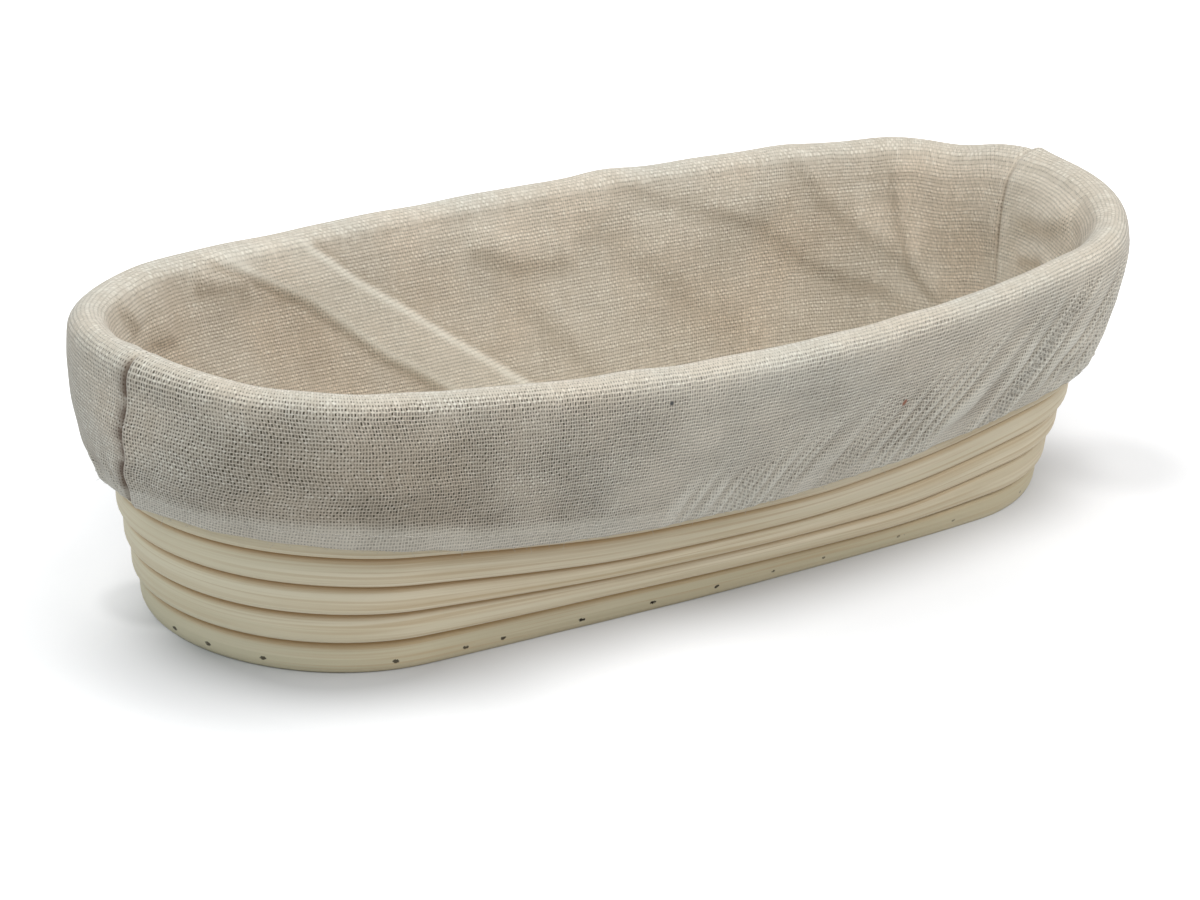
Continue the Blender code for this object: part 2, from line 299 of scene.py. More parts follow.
    def half_arc(self, run: Grid, side: Side, level: float) -> Grid:
        """Return the arc number at a length run from the left end along a side, or just past an end."""
        lengths = self.half_lengths(level)
        past = lengths[1]
        knots = (-past, *lengths, lengths[-1] + past)
        return 1.5 + side.value * np.interp(run, knots, (-0.5, 0.0, 0.5, 1.5, 2.0, 2.5))

    def share_from_left(self, arc: Grid) -> Grid:
        """Return the share of the way from the left end to the right end, on either side."""
        lengths = self.half_lengths(0)
        return np.interp(np.abs((arc + 0.5) % 4 - 2), (0.0, 0.5, 1.5, 2.0), lengths / lengths[-1])


@dataclass(frozen=True)
class CaneFinish:
    """Peeled cane: pale straw with fine lengthwise grain."""

    pale: Colour = (0.84, 0.75, 0.57)
    ashen: Colour = (0.82, 0.785, 0.59)
    deep: Colour = (0.60, 0.465, 0.28)
    green: Colour = (0.60, 0.545, 0.37)
    # Colour of the shadow painted on the top of each course, under the overhang of the one above
    painted_shadow: Colour = (0.64, 0.41, 0.18)
    joint: Colour = (0.24, 0.125, 0.05)
    # Shade painted in the hollow beside each staple
    pit_shade: Colour = (0.012, 0.006, 0.002)
    roughness: tuple[float, float] = (0.46, 0.66)
    pit_place: tuple[float, float] = (-0.0012, 0.0030)
    pit_size: tuple[float, float] = (0.0011, 0.00066)
    grain_depth: float = 0.0004


@dataclass(frozen=True)
class LinenFinish:
    """Coarse undyed linen in a loose plain weave."""

    cool: Colour = (0.76, 0.73, 0.65)
    warm: Colour = (0.86, 0.735, 0.60)
    dark: Colour = (0.42, 0.36, 0.275)
    worn_and_shaded: Colour = (0.46, 0.355, 0.245)
    pale: Colour = (0.89, 0.87, 0.775)
    # Colour painted in the weave's gaps, for the shade seen through them
    hole: Colour = (0.075, 0.062, 0.040)
    fleck: Colour = (0.10, 0.055, 0.03)
    # Run, drop, size and colour of each single mark
    marks: tuple[tuple[float, float, float, Colour], ...] = (
        (0.2551, 1.0291, 0.0016, (0.30, 0.085, 0.03)),
        (0.1618, 1.0106, 0.0009, (0.06, 0.06, 0.065)),
    )
    warp_pitch: float = 0.00083
    weft_pitch: float = 0.00110
    warp_thread: float = 0.82
    weft_thread: float = 0.80
    roughness: float = 0.93
    thread_depth: float = 0.00008


@dataclass(frozen=True)
class WireFinish:
    """Dull dark staple wire with rusty spots."""

    steel: Colour = (0.30, 0.26, 0.20)
    rust: Colour = (0.20, 0.12, 0.06)


@dataclass(frozen=True)
class ThreadFinish:
    """Twisted sewing thread."""

    colour: Colour = (0.74, 0.71, 0.64)
    shade: Colour = (0.50, 0.46, 0.39)
    roughness: float = 0.8
    twists: float = 900.0
    twist_depth: float = 0.0001


@dataclass(frozen=True)
class ElasticFinish:
    """White woven elastic with lengthwise ribs."""

    colour: Colour = (0.78, 0.76, 0.71)
    shade: Colour = (0.55, 0.53, 0.49)
    roughness: float = 0.75
    cross_pitch: float = 0.0005
    rib_pitch: float = 0.0009
    thread: float = 0.95
    rib_depth: float = 0.0003


class Graph:
    """Adds nodes to a node tree in short form. An input is a number, a tuple or another node's socket."""

    def __init__(self, tree: bpy.types.NodeTree) -> None:
        """Keep the tree that nodes are added to."""
        self.tree = tree

    def add(self, kind: str, settings: dict[str, object] | None = None, **inputs: Input) -> bpy.types.Node:
        """Add a node and fill its inputs.

        Args:
            kind: Blender's name of the node, without its Shader prefix.
            settings: Properties of the node.
            inputs: Values by input name, with underscores for blanks.

        Returns:
            The new node.
        """
        node = self.tree.nodes.new(kind if kind.startswith("NodeGroup") else "ShaderNode" + kind)
        for name, value in (settings or {}).items():
            setattr(node, name, value)
        for name, value in inputs.items():
            self.fill(node.inputs[name.replace("_", " ")], value)
        return node

    def fill(self, socket: Socket, value: Input) -> None:
        """Link a socket to the input, or set its value."""
        if isinstance(value, Socket):
            self.tree.links.new(value, socket)
        elif isinstance(value, tuple) and len(value) == 3 and socket.type == "RGBA":
            socket.default_value = (*value, 1.0)
        else:
            socket.default_value = value

    def math(self, operation: str, *values: Input) -> Socket:
        """Add a Math node and return its result."""
        node = self.add("Math", {"operation": operation})
        for socket, value in zip(node.inputs, values):
            self.fill(socket, value)
        return node.outputs[0]

    def times(self, first: Input, second: Input) -> Socket:
        """Multiply two values."""
        return self.math("MULTIPLY", first, second)

    def ramp(
        self, value: Input, low: float, high: float, to_low: float = 0.0, to_high: float = 1.0
    ) -> Socket:
        """Map a value softly from one range to another."""
        node = self.add("MapRange", {"interpolation_type": "SMOOTHSTEP"})
        for socket, part in zip(node.inputs, (value, low, high, to_low, to_high)):
            self.fill(socket, part)
        return node.outputs[0]

    def mix(self, share: Input, first: Input, second: Input) -> Socket:
        """Mix two colours."""
        node = self.add("Mix", {"data_type": "RGBA"})
        for index, part in ((0, share), (6, first), (7, second)):
            self.fill(node.inputs[index], part)
        return node.outputs[2]

    def noise(self, place: Input, scale: float, detail: float = 2.0, stretch: Triple = (1, 1, 1)) -> Socket:
        """Add a noise over stretched coordinates and return its value."""
        moved = self.add("Mapping", Vector=place, Scale=stretch).outputs[0]
        node = self.add("TexNoise", Vector=moved, Scale=scale, Detail=detail)
        return node.outputs[0]

    def chance(self, first: Input, second: Input) -> Socket:
        """Return a random value for each pair of whole numbers."""
        spot = self.add("CombineXYZ", X=first, Y=second).outputs[0]
        return self.add("TexWhiteNoise", {"noise_dimensions": "2D"}, Vector=spot).outputs["Value"]

    def distance(self, place: Input, spot: Triple) -> Socket:
        """Return how far a place lies from a spot."""
        node = self.add("VectorMath", {"operation": "DISTANCE"})
        self.fill(node.inputs[0], place)
        self.fill(node.inputs[1], spot)
        return node.outputs["Value"]

    def specks(self, place: Input, scale: float, rarity: float, small: float, large: float) -> Socket:
        """Mark a few round specks, each in a cell of a Voronoi pattern whose chance passes the rarity."""
        cells = self.add("TexVoronoi", Vector=place, Scale=scale, Randomness=1.0)
        chance = self.add("SeparateColor", Color=cells.outputs["Color"]).outputs[0]
        chosen = self.math("GREATER_THAN", chance, rarity)
        return self.times(chosen, self.ramp(cells.outputs["Distance"], small, large, 0.8, 0.0))

    def bump(self, shader: bpy.types.Node, height: Input, strength: float, distance: float) -> None:
        """Let a height tilt a shader's normal."""
        node = self.add("Bump", Height=height, Strength=strength, Distance=distance)
        self.fill(shader.inputs["Normal"], node.outputs[0])

    def attribute(self, name: str) -> Socket:
        """Return the value of a piece's own attribute."""
        return self.add("Attribute", {"attribute_name": name}).outputs["Fac"]

    def group(self, tree: bpy.types.NodeTree, **inputs: Input) -> bpy.types.Node:
        """Place a node group."""
        return self.add("Group", {"node_tree": tree}, **inputs)


def new_group(
    name: str, inputs: dict[str, str], outputs: dict[str, str]
) -> tuple[Graph, bpy.types.Node, bpy.types.Node]:
    """Make an empty shader node group.

    Args:
        name: Name of the group.
        inputs: Kind of each input socket by name.
        outputs: Kind of each output socket by name.

    Returns:
        The group's graph, its input node and its output node.
    """
    tree = bpy.data.node_groups.new(name, "ShaderNodeTree")
    for sockets, way in ((inputs, "INPUT"), (outputs, "OUTPUT")):
        for label, kind in sockets.items():
            tree.interface.new_socket(label, in_out=way, socket_type="NodeSocket" + kind)
    graph = Graph(tree)
    return graph, graph.add("NodeGroupInput"), graph.add("NodeGroupOutput")


def plain_weave() -> bpy.types.NodeTree:
    """Make the plain weave: each thread is a round ridge that passes over and under the crossing ones.

    A thread's ridge is the root of one minus the squared distance from its middle. Its height follows a
    cosine along its length, with the sign of a chequerboard. The height is the larger of the two threads,
    and a gap is where neither reaches; the gaps are painted dark, as the shade seen through the cloth.
    Every other gap's painted shade is lighter.
    """
    graph, given, result = new_group(
        "plain_weave",
        {
            "Place": "Vector",
            "Warp Pitch": "Float",
            "Weft Pitch": "Float",
            "Warp Thread": "Float",
            "Weft Thread": "Float",
            "Open": "Float",
        },
        {"Height": "Float", "Hole": "Float", "Tone": "Float", "Warp Over": "Float", "Furrow": "Float"},
    )
    # The threads wander widely and tremble finely
    moved = given.outputs["Place"]
    for scale, detail, shift in ((170.0, 2.0, 0.0006), (640.0, 1.0, 0.0005)):
        stir = graph.add("TexNoise", Vector=given.outputs["Place"], Scale=scale, Detail=detail)
        node = graph.add("VectorMath", {"operation": "MULTIPLY_ADD"})
        for socket, part in zip(node.inputs, (stir.outputs["Color"], (shift,) * 3, moved)):
            graph.fill(socket, part)
        moved = node.outputs[0]
    parts = graph.add("SeparateXYZ", Vector=moved)
    cell, offset, ridge, shade = [], [], [], []
    for index, pitch in enumerate(("Warp Pitch", "Weft Pitch")):
        count = graph.math("DIVIDE", parts.outputs[index], given.outputs[pitch])
        whole = graph.math("FLOOR", count)
        cell.append((count, whole))
        offset.append(graph.math("SUBTRACT", graph.math("SUBTRACT", count, whole), 0.5))
        shade.append(graph.add("TexWhiteNoise", {"noise_dimensions": "1D"}, W=whole).outputs["Value"])
    for index in range(2):
        here = graph.times(cell[index][1], 0.731)
        other = graph.times(cell[1 - index][0], 0.11)
        spot = graph.add("CombineXYZ", X=here, Y=other, Z=float(index) * 7.7)
        slub = graph.add("TexNoise", Vector=spot.outputs[0], Scale=1.0, Detail=1.0).outputs[0]
        thread = given.outputs[("Warp Thread", "Weft Thread")[index]]
        slim = graph.times(thread, graph.math("MULTIPLY_ADD", given.outputs["Open"], -0.44, 1.0))
        width = graph.times(slim, graph.ramp(slub, 0.2, 0.8, 0.76, 1.26))
        reach = graph.math("DIVIDE", graph.times(offset[index], 2.0), width)
        square = graph.times(reach, reach)
        ridge.append(graph.math("SQRT", graph.math("MAXIMUM", graph.math("SUBTRACT", 1.0, square), 0.0)))
    sum_of_cells = graph.math("ADD", cell[0][1], cell[1][1])
    sign = graph.math("MULTIPLY_ADD", graph.math("FLOORED_MODULO", sum_of_cells, 2.0), 2.0, -1.0)
    swing = [graph.math("COSINE", graph.times(part, math.pi)) for part in offset]
    heights = []
    for index, turn in ((0, 0.48), (1, -0.48)):
        over = graph.math("MULTIPLY_ADD", graph.times(swing[1 - index], sign), turn, 0.52)
        heights.append(graph.times(ridge[index], over))
    height = graph.math("MAXIMUM", *heights)
    solid = graph.math("MAXIMUM", *ridge)
    warp_up = graph.math("GREATER_THAN", heights[0], heights[1])
    tone = graph.add("Mix", {"data_type": "FLOAT"}, Factor=warp_up)
    graph.fill(tone.inputs[2], shade[1])
    graph.fill(tone.inputs[3], shade[0])
    graph.fill(result.inputs["Height"], height)
    chance = graph.chance(cell[0][1], cell[1][1])
    shades = graph.times(tone.outputs[0], 0.45)
    graph.fill(result.inputs["Tone"], graph.math("MULTIPLY_ADD", chance, 0.55, shades))
    # Every other gap gets lighter painted shade, and each gap's painted shade varies at random
    corners = [graph.math("FLOOR", graph.math("ADD", count, 0.5)) for count, _ in cell]
    shallow = graph.math("FLOORED_MODULO", graph.math("ADD", *corners), 2.0)
    chance = graph.ramp(graph.chance(*corners), 0.0, 0.8, 0.60, 1.0)
    depth = graph.times(graph.ramp(shallow, 0.0, 1.0, 1.0, 0.72), chance)
    graph.fill(result.inputs["Hole"], graph.times(graph.ramp(solid, 0.10, 0.74, 1.0, 0.0), depth))
    # Crossings with the warp on top, which the linen paints darker as shade
    crossing = graph.times(graph.times(*swing), sign)
    graph.fill(result.inputs["Warp Over"], graph.math("MULTIPLY_ADD", crossing, 0.5, 0.5))
    # Where the weft rows part, which the linen paints darker as shade
    graph.fill(result.inputs["Furrow"], graph.ramp(graph.math("ABSOLUTE", offset[1]), 0.22, 0.48))
    return graph.tree


def new_material(name: str) -> tuple[bpy.types.Material, Graph, bpy.types.Node]:
    """Make a material with a Principled shader and return it with its graph and that shader."""
    made = bpy.data.materials.new(name)
    made.use_nodes = True
    return made, Graph(made.node_tree), made.node_tree.nodes["Principled BSDF"]


class Finishes:
    """Makes each material once."""

    def __init__(self) -> None:
        """Build the shared weave and all the materials."""
        self.weave = plain_weave()
        self.linen = self.make_linen(LinenFinish())
        self.cane = self.make_cane(CaneFinish())
        self.wire = self.make_wire(WireFinish())
        self.thread = self.make_thread(ThreadFinish())
        self.elastic = self.make_elastic(ElasticFinish())

    def make_linen(self, finish: LinenFinish) -> bpy.types.Material:
        """Make the cloth: woven threads of uneven tone, mottled from cool to warm and worn in patches, with
        painted shade in its gaps, crevices, furrows, crossings and hollows, and painted light where it is
        pale.
        """
        made, graph, shader = new_material("undyed_linen")
        place = graph.add("UVMap", {"uv_map": "weave"}).outputs[0]
        weave = graph.group(
            self.weave,
            Place=place,
            Warp_Pitch=finish.warp_pitch,
            Weft_Pitch=finish.weft_pitch,
            Warp_Thread=finish.warp_thread,
            Weft_Thread=finish.weft_thread,
            Open=graph.attribute("open"),
        )
        inside = graph.attribute("inside")
        mottle = graph.ramp(graph.noise(place, 26.0, 3.0), 0.36, 0.66)
        mottle = graph.math("MULTIPLY_ADD", inside, 0.40, graph.times(mottle, 0.60))
        tint = graph.mix(mottle, finish.cool, finish.warm)
        worn = graph.ramp(graph.noise(place, 48.0, 4.0), 0.50, 0.68, 0.0, 0.24)
        worn = graph.times(worn, graph.ramp(inside, 0.0, 1.0, 0.35, 1.0))
        # Brown for random wear, and for the shade painted in fold hollows, between gathers, at the rim's
        # right end, on the front cuff and beside the tuck
        tint = graph.mix(graph.math("MAXIMUM", worn, graph.attribute("browned")), tint, finish.worn_and_shaded)
        streak = graph.noise(place, 1.0, 2.0, (900.0, 90.0, 1.0))
        bar = graph.noise(place, 1.0, 2.0, (80.0, 1000.0, 1.0))
        cloud = graph.noise(place, 380.0, 3.0)
        lines = graph.times(graph.math("ADD", streak, bar), 0.15)
        lines = graph.math("MULTIPLY_ADD", cloud, 0.7, lines)
        tone = graph.math("MULTIPLY_ADD", weave.outputs["Tone"], 0.45, graph.times(lines, 0.55))
        tint = graph.mix(graph.ramp(tone, 0.30, 0.70, 0.46, 0.0), tint, finish.dark)
        tint = graph.mix(graph.ramp(tone, 0.50, 0.80, 0.0, 0.48), tint, finish.pale)
        plain = graph.ramp(graph.attribute("fuzzy"), 0.0, 1.0, 1.0, 0.15)
        # Painted shade in the crevices between the threads, less where the cloth is fuzzy
        crevice_shade = graph.times(graph.ramp(weave.outputs["Height"], 0.20, 0.85, 0.50, 0.0), plain)
        tint = graph.mix(crevice_shade, tint, finish.dark)
        # Painted shade in the furrows between the weft rows, stronger in cloudy patches
        furrow_shade = graph.times(weave.outputs["Furrow"], graph.ramp(cloud, 0.35, 0.65, 0.04, 0.28))
        furrow_shade = graph.times(furrow_shade, plain)
        tint = graph.mix(furrow_shade, tint, finish.dark)
        # Painted shade on the crossings where the warp lies on top
        tint = graph.mix(graph.times(weave.outputs["Warp Over"], 0.42), tint, finish.dark)
        # Paler where the hem is doubled or the cloth is drawn taut, and where light is painted on the rim,
        # ridges, creases and ends; this also hides the dark gaps
        doubled = graph.attribute("doubled")
        veil_and_light = graph.math("MAXIMUM", doubled, graph.attribute("stretched"))
        haze_and_light = graph.math("MAXIMUM", graph.times(doubled, 0.75), graph.attribute("stretched"))
        tint = graph.mix(graph.times(haze_and_light, 0.7), tint, finish.pale)
        # The gaps are painted dark as shade, less so on the doubled hem and where pale is painted
        hole = graph.times(weave.outputs["Hole"], graph.ramp(veil_and_light, 0.0, 1.0, 1.0, 0.42))
        tint = graph.mix(hole, tint, finish.hole)
        tint = graph.mix(graph.specks(place, 42.0, 0.86, 0.010, 0.028), tint, finish.fleck)
        for run, drop, size, colour in finish.marks:
            away = graph.distance(place, (run, drop, 0.0))
            tint = graph.mix(graph.ramp(away, 0.45 * size, size, 0.95, 0.0), tint, colour)
        # Dark seam line, widened on the rear panel by painted shadow beside the front panel's lip
        tint = graph.mix(graph.times(graph.attribute("seam"), 0.95), tint, finish.fleck)
        graph.fill(shader.inputs["Base Color"], tint)
        fibre = graph.noise(place, 5200.0, 2.0)
        relief = graph.math("MULTIPLY_ADD", fibre, 0.5, graph.times(weave.outputs["Height"], plain))
        graph.bump(shader, relief, 0.35, finish.thread_depth)
        shader.inputs["Roughness"].default_value = finish.roughness
        shader.inputs["Specular IOR Level"].default_value = 0.2
        shader.inputs["Sheen Weight"].default_value = 0.2
        shader.inputs["Sheen Roughness"].default_value = 0.6
        return made

    def make_cane(self, finish: CaneFinish) -> bpy.types.Material:
        """Make the cane: streaks along its length, darker joints between turns, painted shadow under each
        course's overhang and painted shade in the pits at the staples.
        """
        made, graph, shader = new_material("peeled_cane")
        place = graph.add("UVMap", {"uv_map": "grain"}).outputs[0]
        fine = graph.noise(place, 1.0, 3.0, (14.0, 2600.0, 1.0))
        broad = graph.noise(place, 1.0, 2.0, (5.0, 420.0, 1.0))
        patch = graph.noise(place, 1.0, 2.0, (9.0, 60.0, 1.0))
        grain = graph.math("MULTIPLY_ADD", fine, 0.5, graph.times(broad, 0.5))
        tint = graph.mix(graph.ramp(grain, 0.38, 0.60, 0.62, 0.0), finish.pale, finish.deep)
        # Lowest course painted greener and darker, partly its own green tint and partly shade near the floor;
        # random green patches elsewhere
        lowest = graph.ramp(graph.attribute("level"), 0.45, 0.52, 1.0, 0.0)
        green_and_foot_shade = graph.math("MULTIPLY_ADD", lowest, 0.55, graph.ramp(patch, 0.35, 0.7, 0.0, 0.28))
        tint = graph.mix(green_and_foot_shade, tint, finish.green)
        fibre = graph.ramp(graph.noise(place, 1.0, 1.0, (12.0, 2300.0, 1.0)), 0.52, 0.66, 0.0, 0.60)
        tint = graph.mix(fibre, tint, finish.deep)
        spot = graph.add("SeparateXYZ", Vector=graph.add("TexCoord").outputs["Object"]).outputs["X"]
        tint = graph.mix(graph.ramp(spot, -0.165, -0.11, 0.40, 0.0), tint, finish.ashen)
        across = graph.attribute("across")
        # Painted shadow on the top of each course under the overhang of the one above, fainter to the right
        # and none on the rim course
        shadow_below_joint = graph.ramp(across, 0.42, 0.95, 0.0, 0.85)
        shadow_below_joint = graph.times(shadow_below_joint, graph.ramp(spot, -0.06, 0.10, 1.0, 0.45))
        shadow_below_joint = graph.times(shadow_below_joint, graph.ramp(graph.attribute("level"), 8.5, 8.8, 1.0, 0.0))
        tint = graph.mix(shadow_below_joint, tint, finish.painted_shadow)
        gap = graph.ramp(graph.math("ABSOLUTE", across), 0.92, 0.99, 0.0, 0.85)
        gap = graph.times(gap, graph.ramp(graph.attribute("level"), 9.0, 9.3, 1.0, 0.0))
        tint = graph.mix(gap, tint, finish.joint)
        tint = graph.mix(graph.specks(place, 26.0, 0.84, 0.008, 0.018), tint, finish.joint)
        # Painted shade in the hollow beside each staple
        tint = graph.mix(self.staple_pit(graph, finish), tint, finish.pit_shade)
        graph.fill(shader.inputs["Base Color"], tint)
        graph.fill(shader.inputs["Roughness"], graph.ramp(grain, 0.3, 0.7, *finish.roughness))
        graph.bump(shader, grain, 0.35, finish.grain_depth)
        shader.inputs["Specular IOR Level"].default_value = 0.2
        return made

    def staple_pit(self, graph: Graph, finish: CaneFinish) -> Socket:
        """Paint an uneven oval of shade, for the hollow beside each staple, from the distance along the cane
        and the height.
        """
        place = graph.add("TexCoord").outputs["Object"]
        height = graph.add("SeparateXYZ", Vector=place).outputs["Z"]
        parts = []
        sides = (graph.attribute("beside"), height)
        for value, middle, half in zip(sides, finish.pit_place, finish.pit_size):
            share = graph.math("DIVIDE", graph.math("SUBTRACT", value, middle), half)
            parts.append(graph.times(share, share))
        spot = graph.add("SeparateXYZ", Vector=place).outputs["X"]
        away = graph.times(graph.math("ADD", *parts), graph.ramp(spot, -0.04, 0.08, 1.0, 2.2))
        ragged = graph.math("MULTIPLY_ADD", graph.noise(place, 1300.0, 3.0), 3.4, away)
        fade = graph.ramp(spot, -0.04, 0.08, 1.0, 0.55)
        depth = graph.ramp(graph.noise(place, 11.0, 0.0), 0.35, 0.6, 0.85, 1.0)
        depth = graph.times(depth, fade)
        pit_shade = graph.times(graph.ramp(ragged, 2.1, 2.7, 1.0, 0.0), depth)
        return graph.times(pit_shade, graph.attribute("stapled"))

    def make_wire(self, finish: WireFinish) -> bpy.types.Material:
        """Make the staples' dull wire with spots of rust."""
        made, graph, shader = new_material("dull_wire")
        place = graph.add("TexCoord").outputs["Object"]
        spots = graph.ramp(graph.noise(place, 1400.0, 3.0), 0.42, 0.62)
        graph.fill(shader.inputs["Base Color"], graph.mix(spots, finish.steel, finish.rust))
        graph.fill(shader.inputs["Metallic"], graph.ramp(spots, 0.0, 1.0, 0.8, 0.1))
        graph.fill(shader.inputs["Roughness"], graph.ramp(spots, 0.0, 1.0, 0.42, 0.8))
        return made

    def make_thread(self, finish: ThreadFinish) -> bpy.types.Material:
        """Make the sewing thread, whose twist is a diagonal wave along it."""
        made, graph, shader = new_material("sewing_thread")
        place = graph.add("UVMap", {"uv_map": "twist"}).outputs[0]
        diagonal = {"bands_direction": "DIAGONAL"}
        wave = graph.add("TexWave", diagonal, Vector=place, Scale=finish.twists, Distortion=0.4)
        ply = wave.outputs["Fac"]
        graph.fill(shader.inputs["Base Color"], graph.mix(ply, finish.shade, finish.colour))
        graph.bump(shader, ply, 0.5, finish.twist_depth)
        shader.inputs["Roughness"].default_value = finish.roughness
        return made

    def make_elastic(self, finish: ElasticFinish) -> bpy.types.Material:
        """Make the elastic: ribs along its length and fine crossing threads."""
        made, graph, shader = new_material("woven_elastic")
        place = graph.add("UVMap", {"uv_map": "weave"}).outputs[0]
        weave = graph.group(
            self.weave,
            Place=place,
            Warp_Pitch=finish.cross_pitch,
            Weft_Pitch=finish.rib_pitch,
            Warp_Thread=finish.thread,
            Weft_Thread=finish.thread,
            Open=0.0,
        )
        height = weave.outputs["Height"]
        graph.fill(shader.inputs["Base Color"], graph.mix(height, finish.shade, finish.colour))
        graph.bump(shader, height, 0.5, finish.rib_depth)
        shader.inputs["Roughness"].default_value = finish.roughness
        return made


# Corners of a quad, as steps along both ways of a grid
QUAD = ((0, 0), (0, 1), (1, 1), (1, 0))


def link(name: str, data: bpy.types.ID) -> bpy.types.Object:
    """Put a mesh, a camera or a lamp into the scene."""
    obj = bpy.data.objects.new(name, data)
    bpy.context.scene.collection.objects.link(obj)
    return obj


def surface(
    name: str,
    points: Grid,
    uv: Grid,
    layer: str,
    closed: bool = False,
    flip: bool = False,
    attributes: dict[str, Grid | float] | None = None,
) -> bpy.types.Object:
    """Put a grid of points into a mesh of quads.

    Args:
        name: Name of the object.
        points: Rows by columns of places.
        uv: The same grid of texture places, with one more column where the grid is closed.
        layer: Name of the texture map.
        closed: Whether the last column joins the first, with both ends of the tube capped.
        flip: Whether the faces are turned round.
        attributes: Values by name for each point.

    Returns:
        The new object, linked to the scene.
    """
    rows, columns = points.shape[:2]
    across = columns if closed else columns - 1
    row, column = np.meshgrid(np.arange(rows - 1), np.arange(across), indexing="ij")
    corners = QUAD[::-1] if flip else QUAD
    quads = [(row + r) * columns + (column + c) % columns for r, c in corners]
    texture = np.stack([uv[row + r, column + c] for r, c in corners], axis=-2).reshape(-1, 2)
    faces = np.stack(quads, axis=-1).reshape(-1, 4).tolist()
    if closed:
        first = list(range(columns))
        last = [(rows - 1) * columns + index for index in range(columns)]
        caps = [first[::-1], last] if not flip else [first, last[::-1]]
        faces += caps
        ends = [uv[line, np.array(cap) % columns] for line, cap in zip((0, -1), caps)]
        texture = np.concatenate([texture, *ends])
    mesh = bpy.data.meshes.new(name)
    mesh.from_pydata(points.reshape(-1, 3).tolist(), [], faces)
    mesh.uv_layers.new(name=layer).data.foreach_set("uv", texture.astype(np.float32).ravel())
    for label, values in (attributes or {}).items():
        spread = np.broadcast_to(values, (rows, columns)).astype(np.float32)
        mesh.attributes.new(label, "FLOAT", "POINT").data.foreach_set("value", spread.ravel())
    mesh.shade_smooth()
    if closed:
        face_outwards(mesh)
    return link(name, mesh)


def face_outwards(mesh: bpy.types.Mesh) -> None:
    """Turn a closed mesh's faces outwards."""
    work = bmesh.new()
    work.from_mesh(mesh)
    bmesh.ops.recalc_face_normals(work, faces=work.faces)
    work.to_mesh(mesh)
    work.free()


def tubes(name: str, way: Grid, up: Grid, radius: float, sides: int) -> bpy.types.Object:
    """Make many round tubes of equal station count as one mesh.

    Each ring lies across its tube's way: the radius along the side direction by the cosine of an angle,
    and along the upward one by its sine.

    Args:
        name: Name of the object.
        way: Tubes by stations of places.
        up: A direction across each tube.
        radius: Half the thickness.
        sides: Points round each ring.

    Returns:
        The new object, linked to the scene.
    """
    count, stations = way.shape[:2]
    heading = np.gradient(way, axis=1)
    side = np.cross(heading, up[:, None])
    side /= np.linalg.norm(side, axis=2, keepdims=True)
    rise = np.cross(side, heading)
    rise /= np.linalg.norm(rise, axis=2, keepdims=True)
    angle = np.linspace(0, 2 * math.pi, sides, endpoint=False)[:, None]
    rings = way[:, :, None] + radius * (np.cos(angle) * side[:, :, None] + np.sin(angle) * rise[:, :, None])
    counts = (np.arange(count), np.arange(stations - 1), np.arange(sides))
    tube, station, corner = np.meshgrid(*counts, indexing="ij")
    quads = [(tube * stations + station + s) * sides + (corner + c) % sides for s, c in QUAD]
    first = np.arange(count)[:, None] * stations * sides + np.arange(sides)
    last = first + (stations - 1) * sides
    mesh = bpy.data.meshes.new(name)
    faces = np.stack(quads, axis=-1).reshape(-1, 4).tolist() + first[:, ::-1].tolist() + last.tolist()
    mesh.from_pydata(rings.reshape(-1, 3).tolist(), [], faces)
    along = np.linalg.norm(np.diff(way, axis=1), axis=2).sum(axis=1) / (stations - 1)
    facet = 2 * math.pi * radius / sides
    texture = [np.stack([(station + s) * along[tube], (corner + c) * facet], axis=-1) for s, c in QUAD]
    texture = np.concatenate([np.stack(texture, axis=-2).reshape(-1, 2), np.zeros((2 * count * sides, 2))])
    mesh.uv_layers.new(name="twist").data.foreach_set("uv", texture.astype(np.float32).ravel())
    mesh.shade_smooth()
    face_outwards(mesh)
    return link(name, mesh)


def dress(
    obj: bpy.types.Object, body: str, slot: Slot, material: bpy.types.Material, *nodes: str
) -> bpy.types.Object:
    """Give a piece its material and its body, and let it stand for its CAD nodes.

    Args:
        obj: The piece.
        body: Name of the body that it moves with.
        slot: The record's material slot; not used.
        material: Its material.
        nodes: CAD nodes that it replaces.

    Returns:
        The piece.
    """
    obj.data.materials.append(material)
    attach(obj, body)
    if nodes:
        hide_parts(*nodes)
    LOG.info("%s: %d points, %d faces", obj.name, len(obj.data.vertices), len(obj.data.polygons))
    return obj


@dataclass(frozen=True)
class Section:
    """Cross-section of the cane: a rounded square, flattened where neighbouring turns press on it."""

    points: int = 32
    squareness: float = 4.4
    wall_shares: tuple[float, ...] = (0.0, 0.50, 0.72, 0.78, 0.90, 1.0)
    wall_squareness: tuple[float, ...] = (3.0, 4.4, 5.4, 5.4, 3.0, 3.0)
    wall_upright: tuple[float, ...] = (0.75, 0.65, 0.30, 0.30, 0.80, 0.80)
    rim_squareness: float = 2.0
    crisper_below: float = 2.0
    rounder_foot: float = 2.6
    corner_spread: float = 0.16

    def ring(self, squareness: Grid, lowest: Grid | float = 0.0) -> tuple[Grid, Grid]:
        """Return the outward and the upward part of each point of the section, from -1 to 1.

        The section is the curve where the sum of both parts, raised to the squareness, is one. Its lower
        half is squarer, except in the lowest course. Its points are evenly spread by angle of the
        matching even rounding.

        Args:
            squareness: Squareness of the upper half at each station.
            lowest: 1 where the station lies in the lowest course.

        Returns:
            Both parts, one row for each station.
        """
        angle = np.linspace(0, 2 * math.pi, self.points, endpoint=False)
        even = np.angle(np.exp(1j * angle))
        crisper = self.crisper_below - self.rounder_foot * np.asarray(lowest, float)
        bend = 2 / (np.asarray(squareness, float)[..., None] + crisper[..., None] * (even < 0))
        spread = even + self.corner_spread * np.sin(4 * even) * (1 - bend)
        out = np.sign(np.cos(spread)) * np.abs(np.cos(spread)) ** bend
        up = np.sign(np.sin(spread)) * np.abs(np.sin(spread)) ** bend
        return out, up


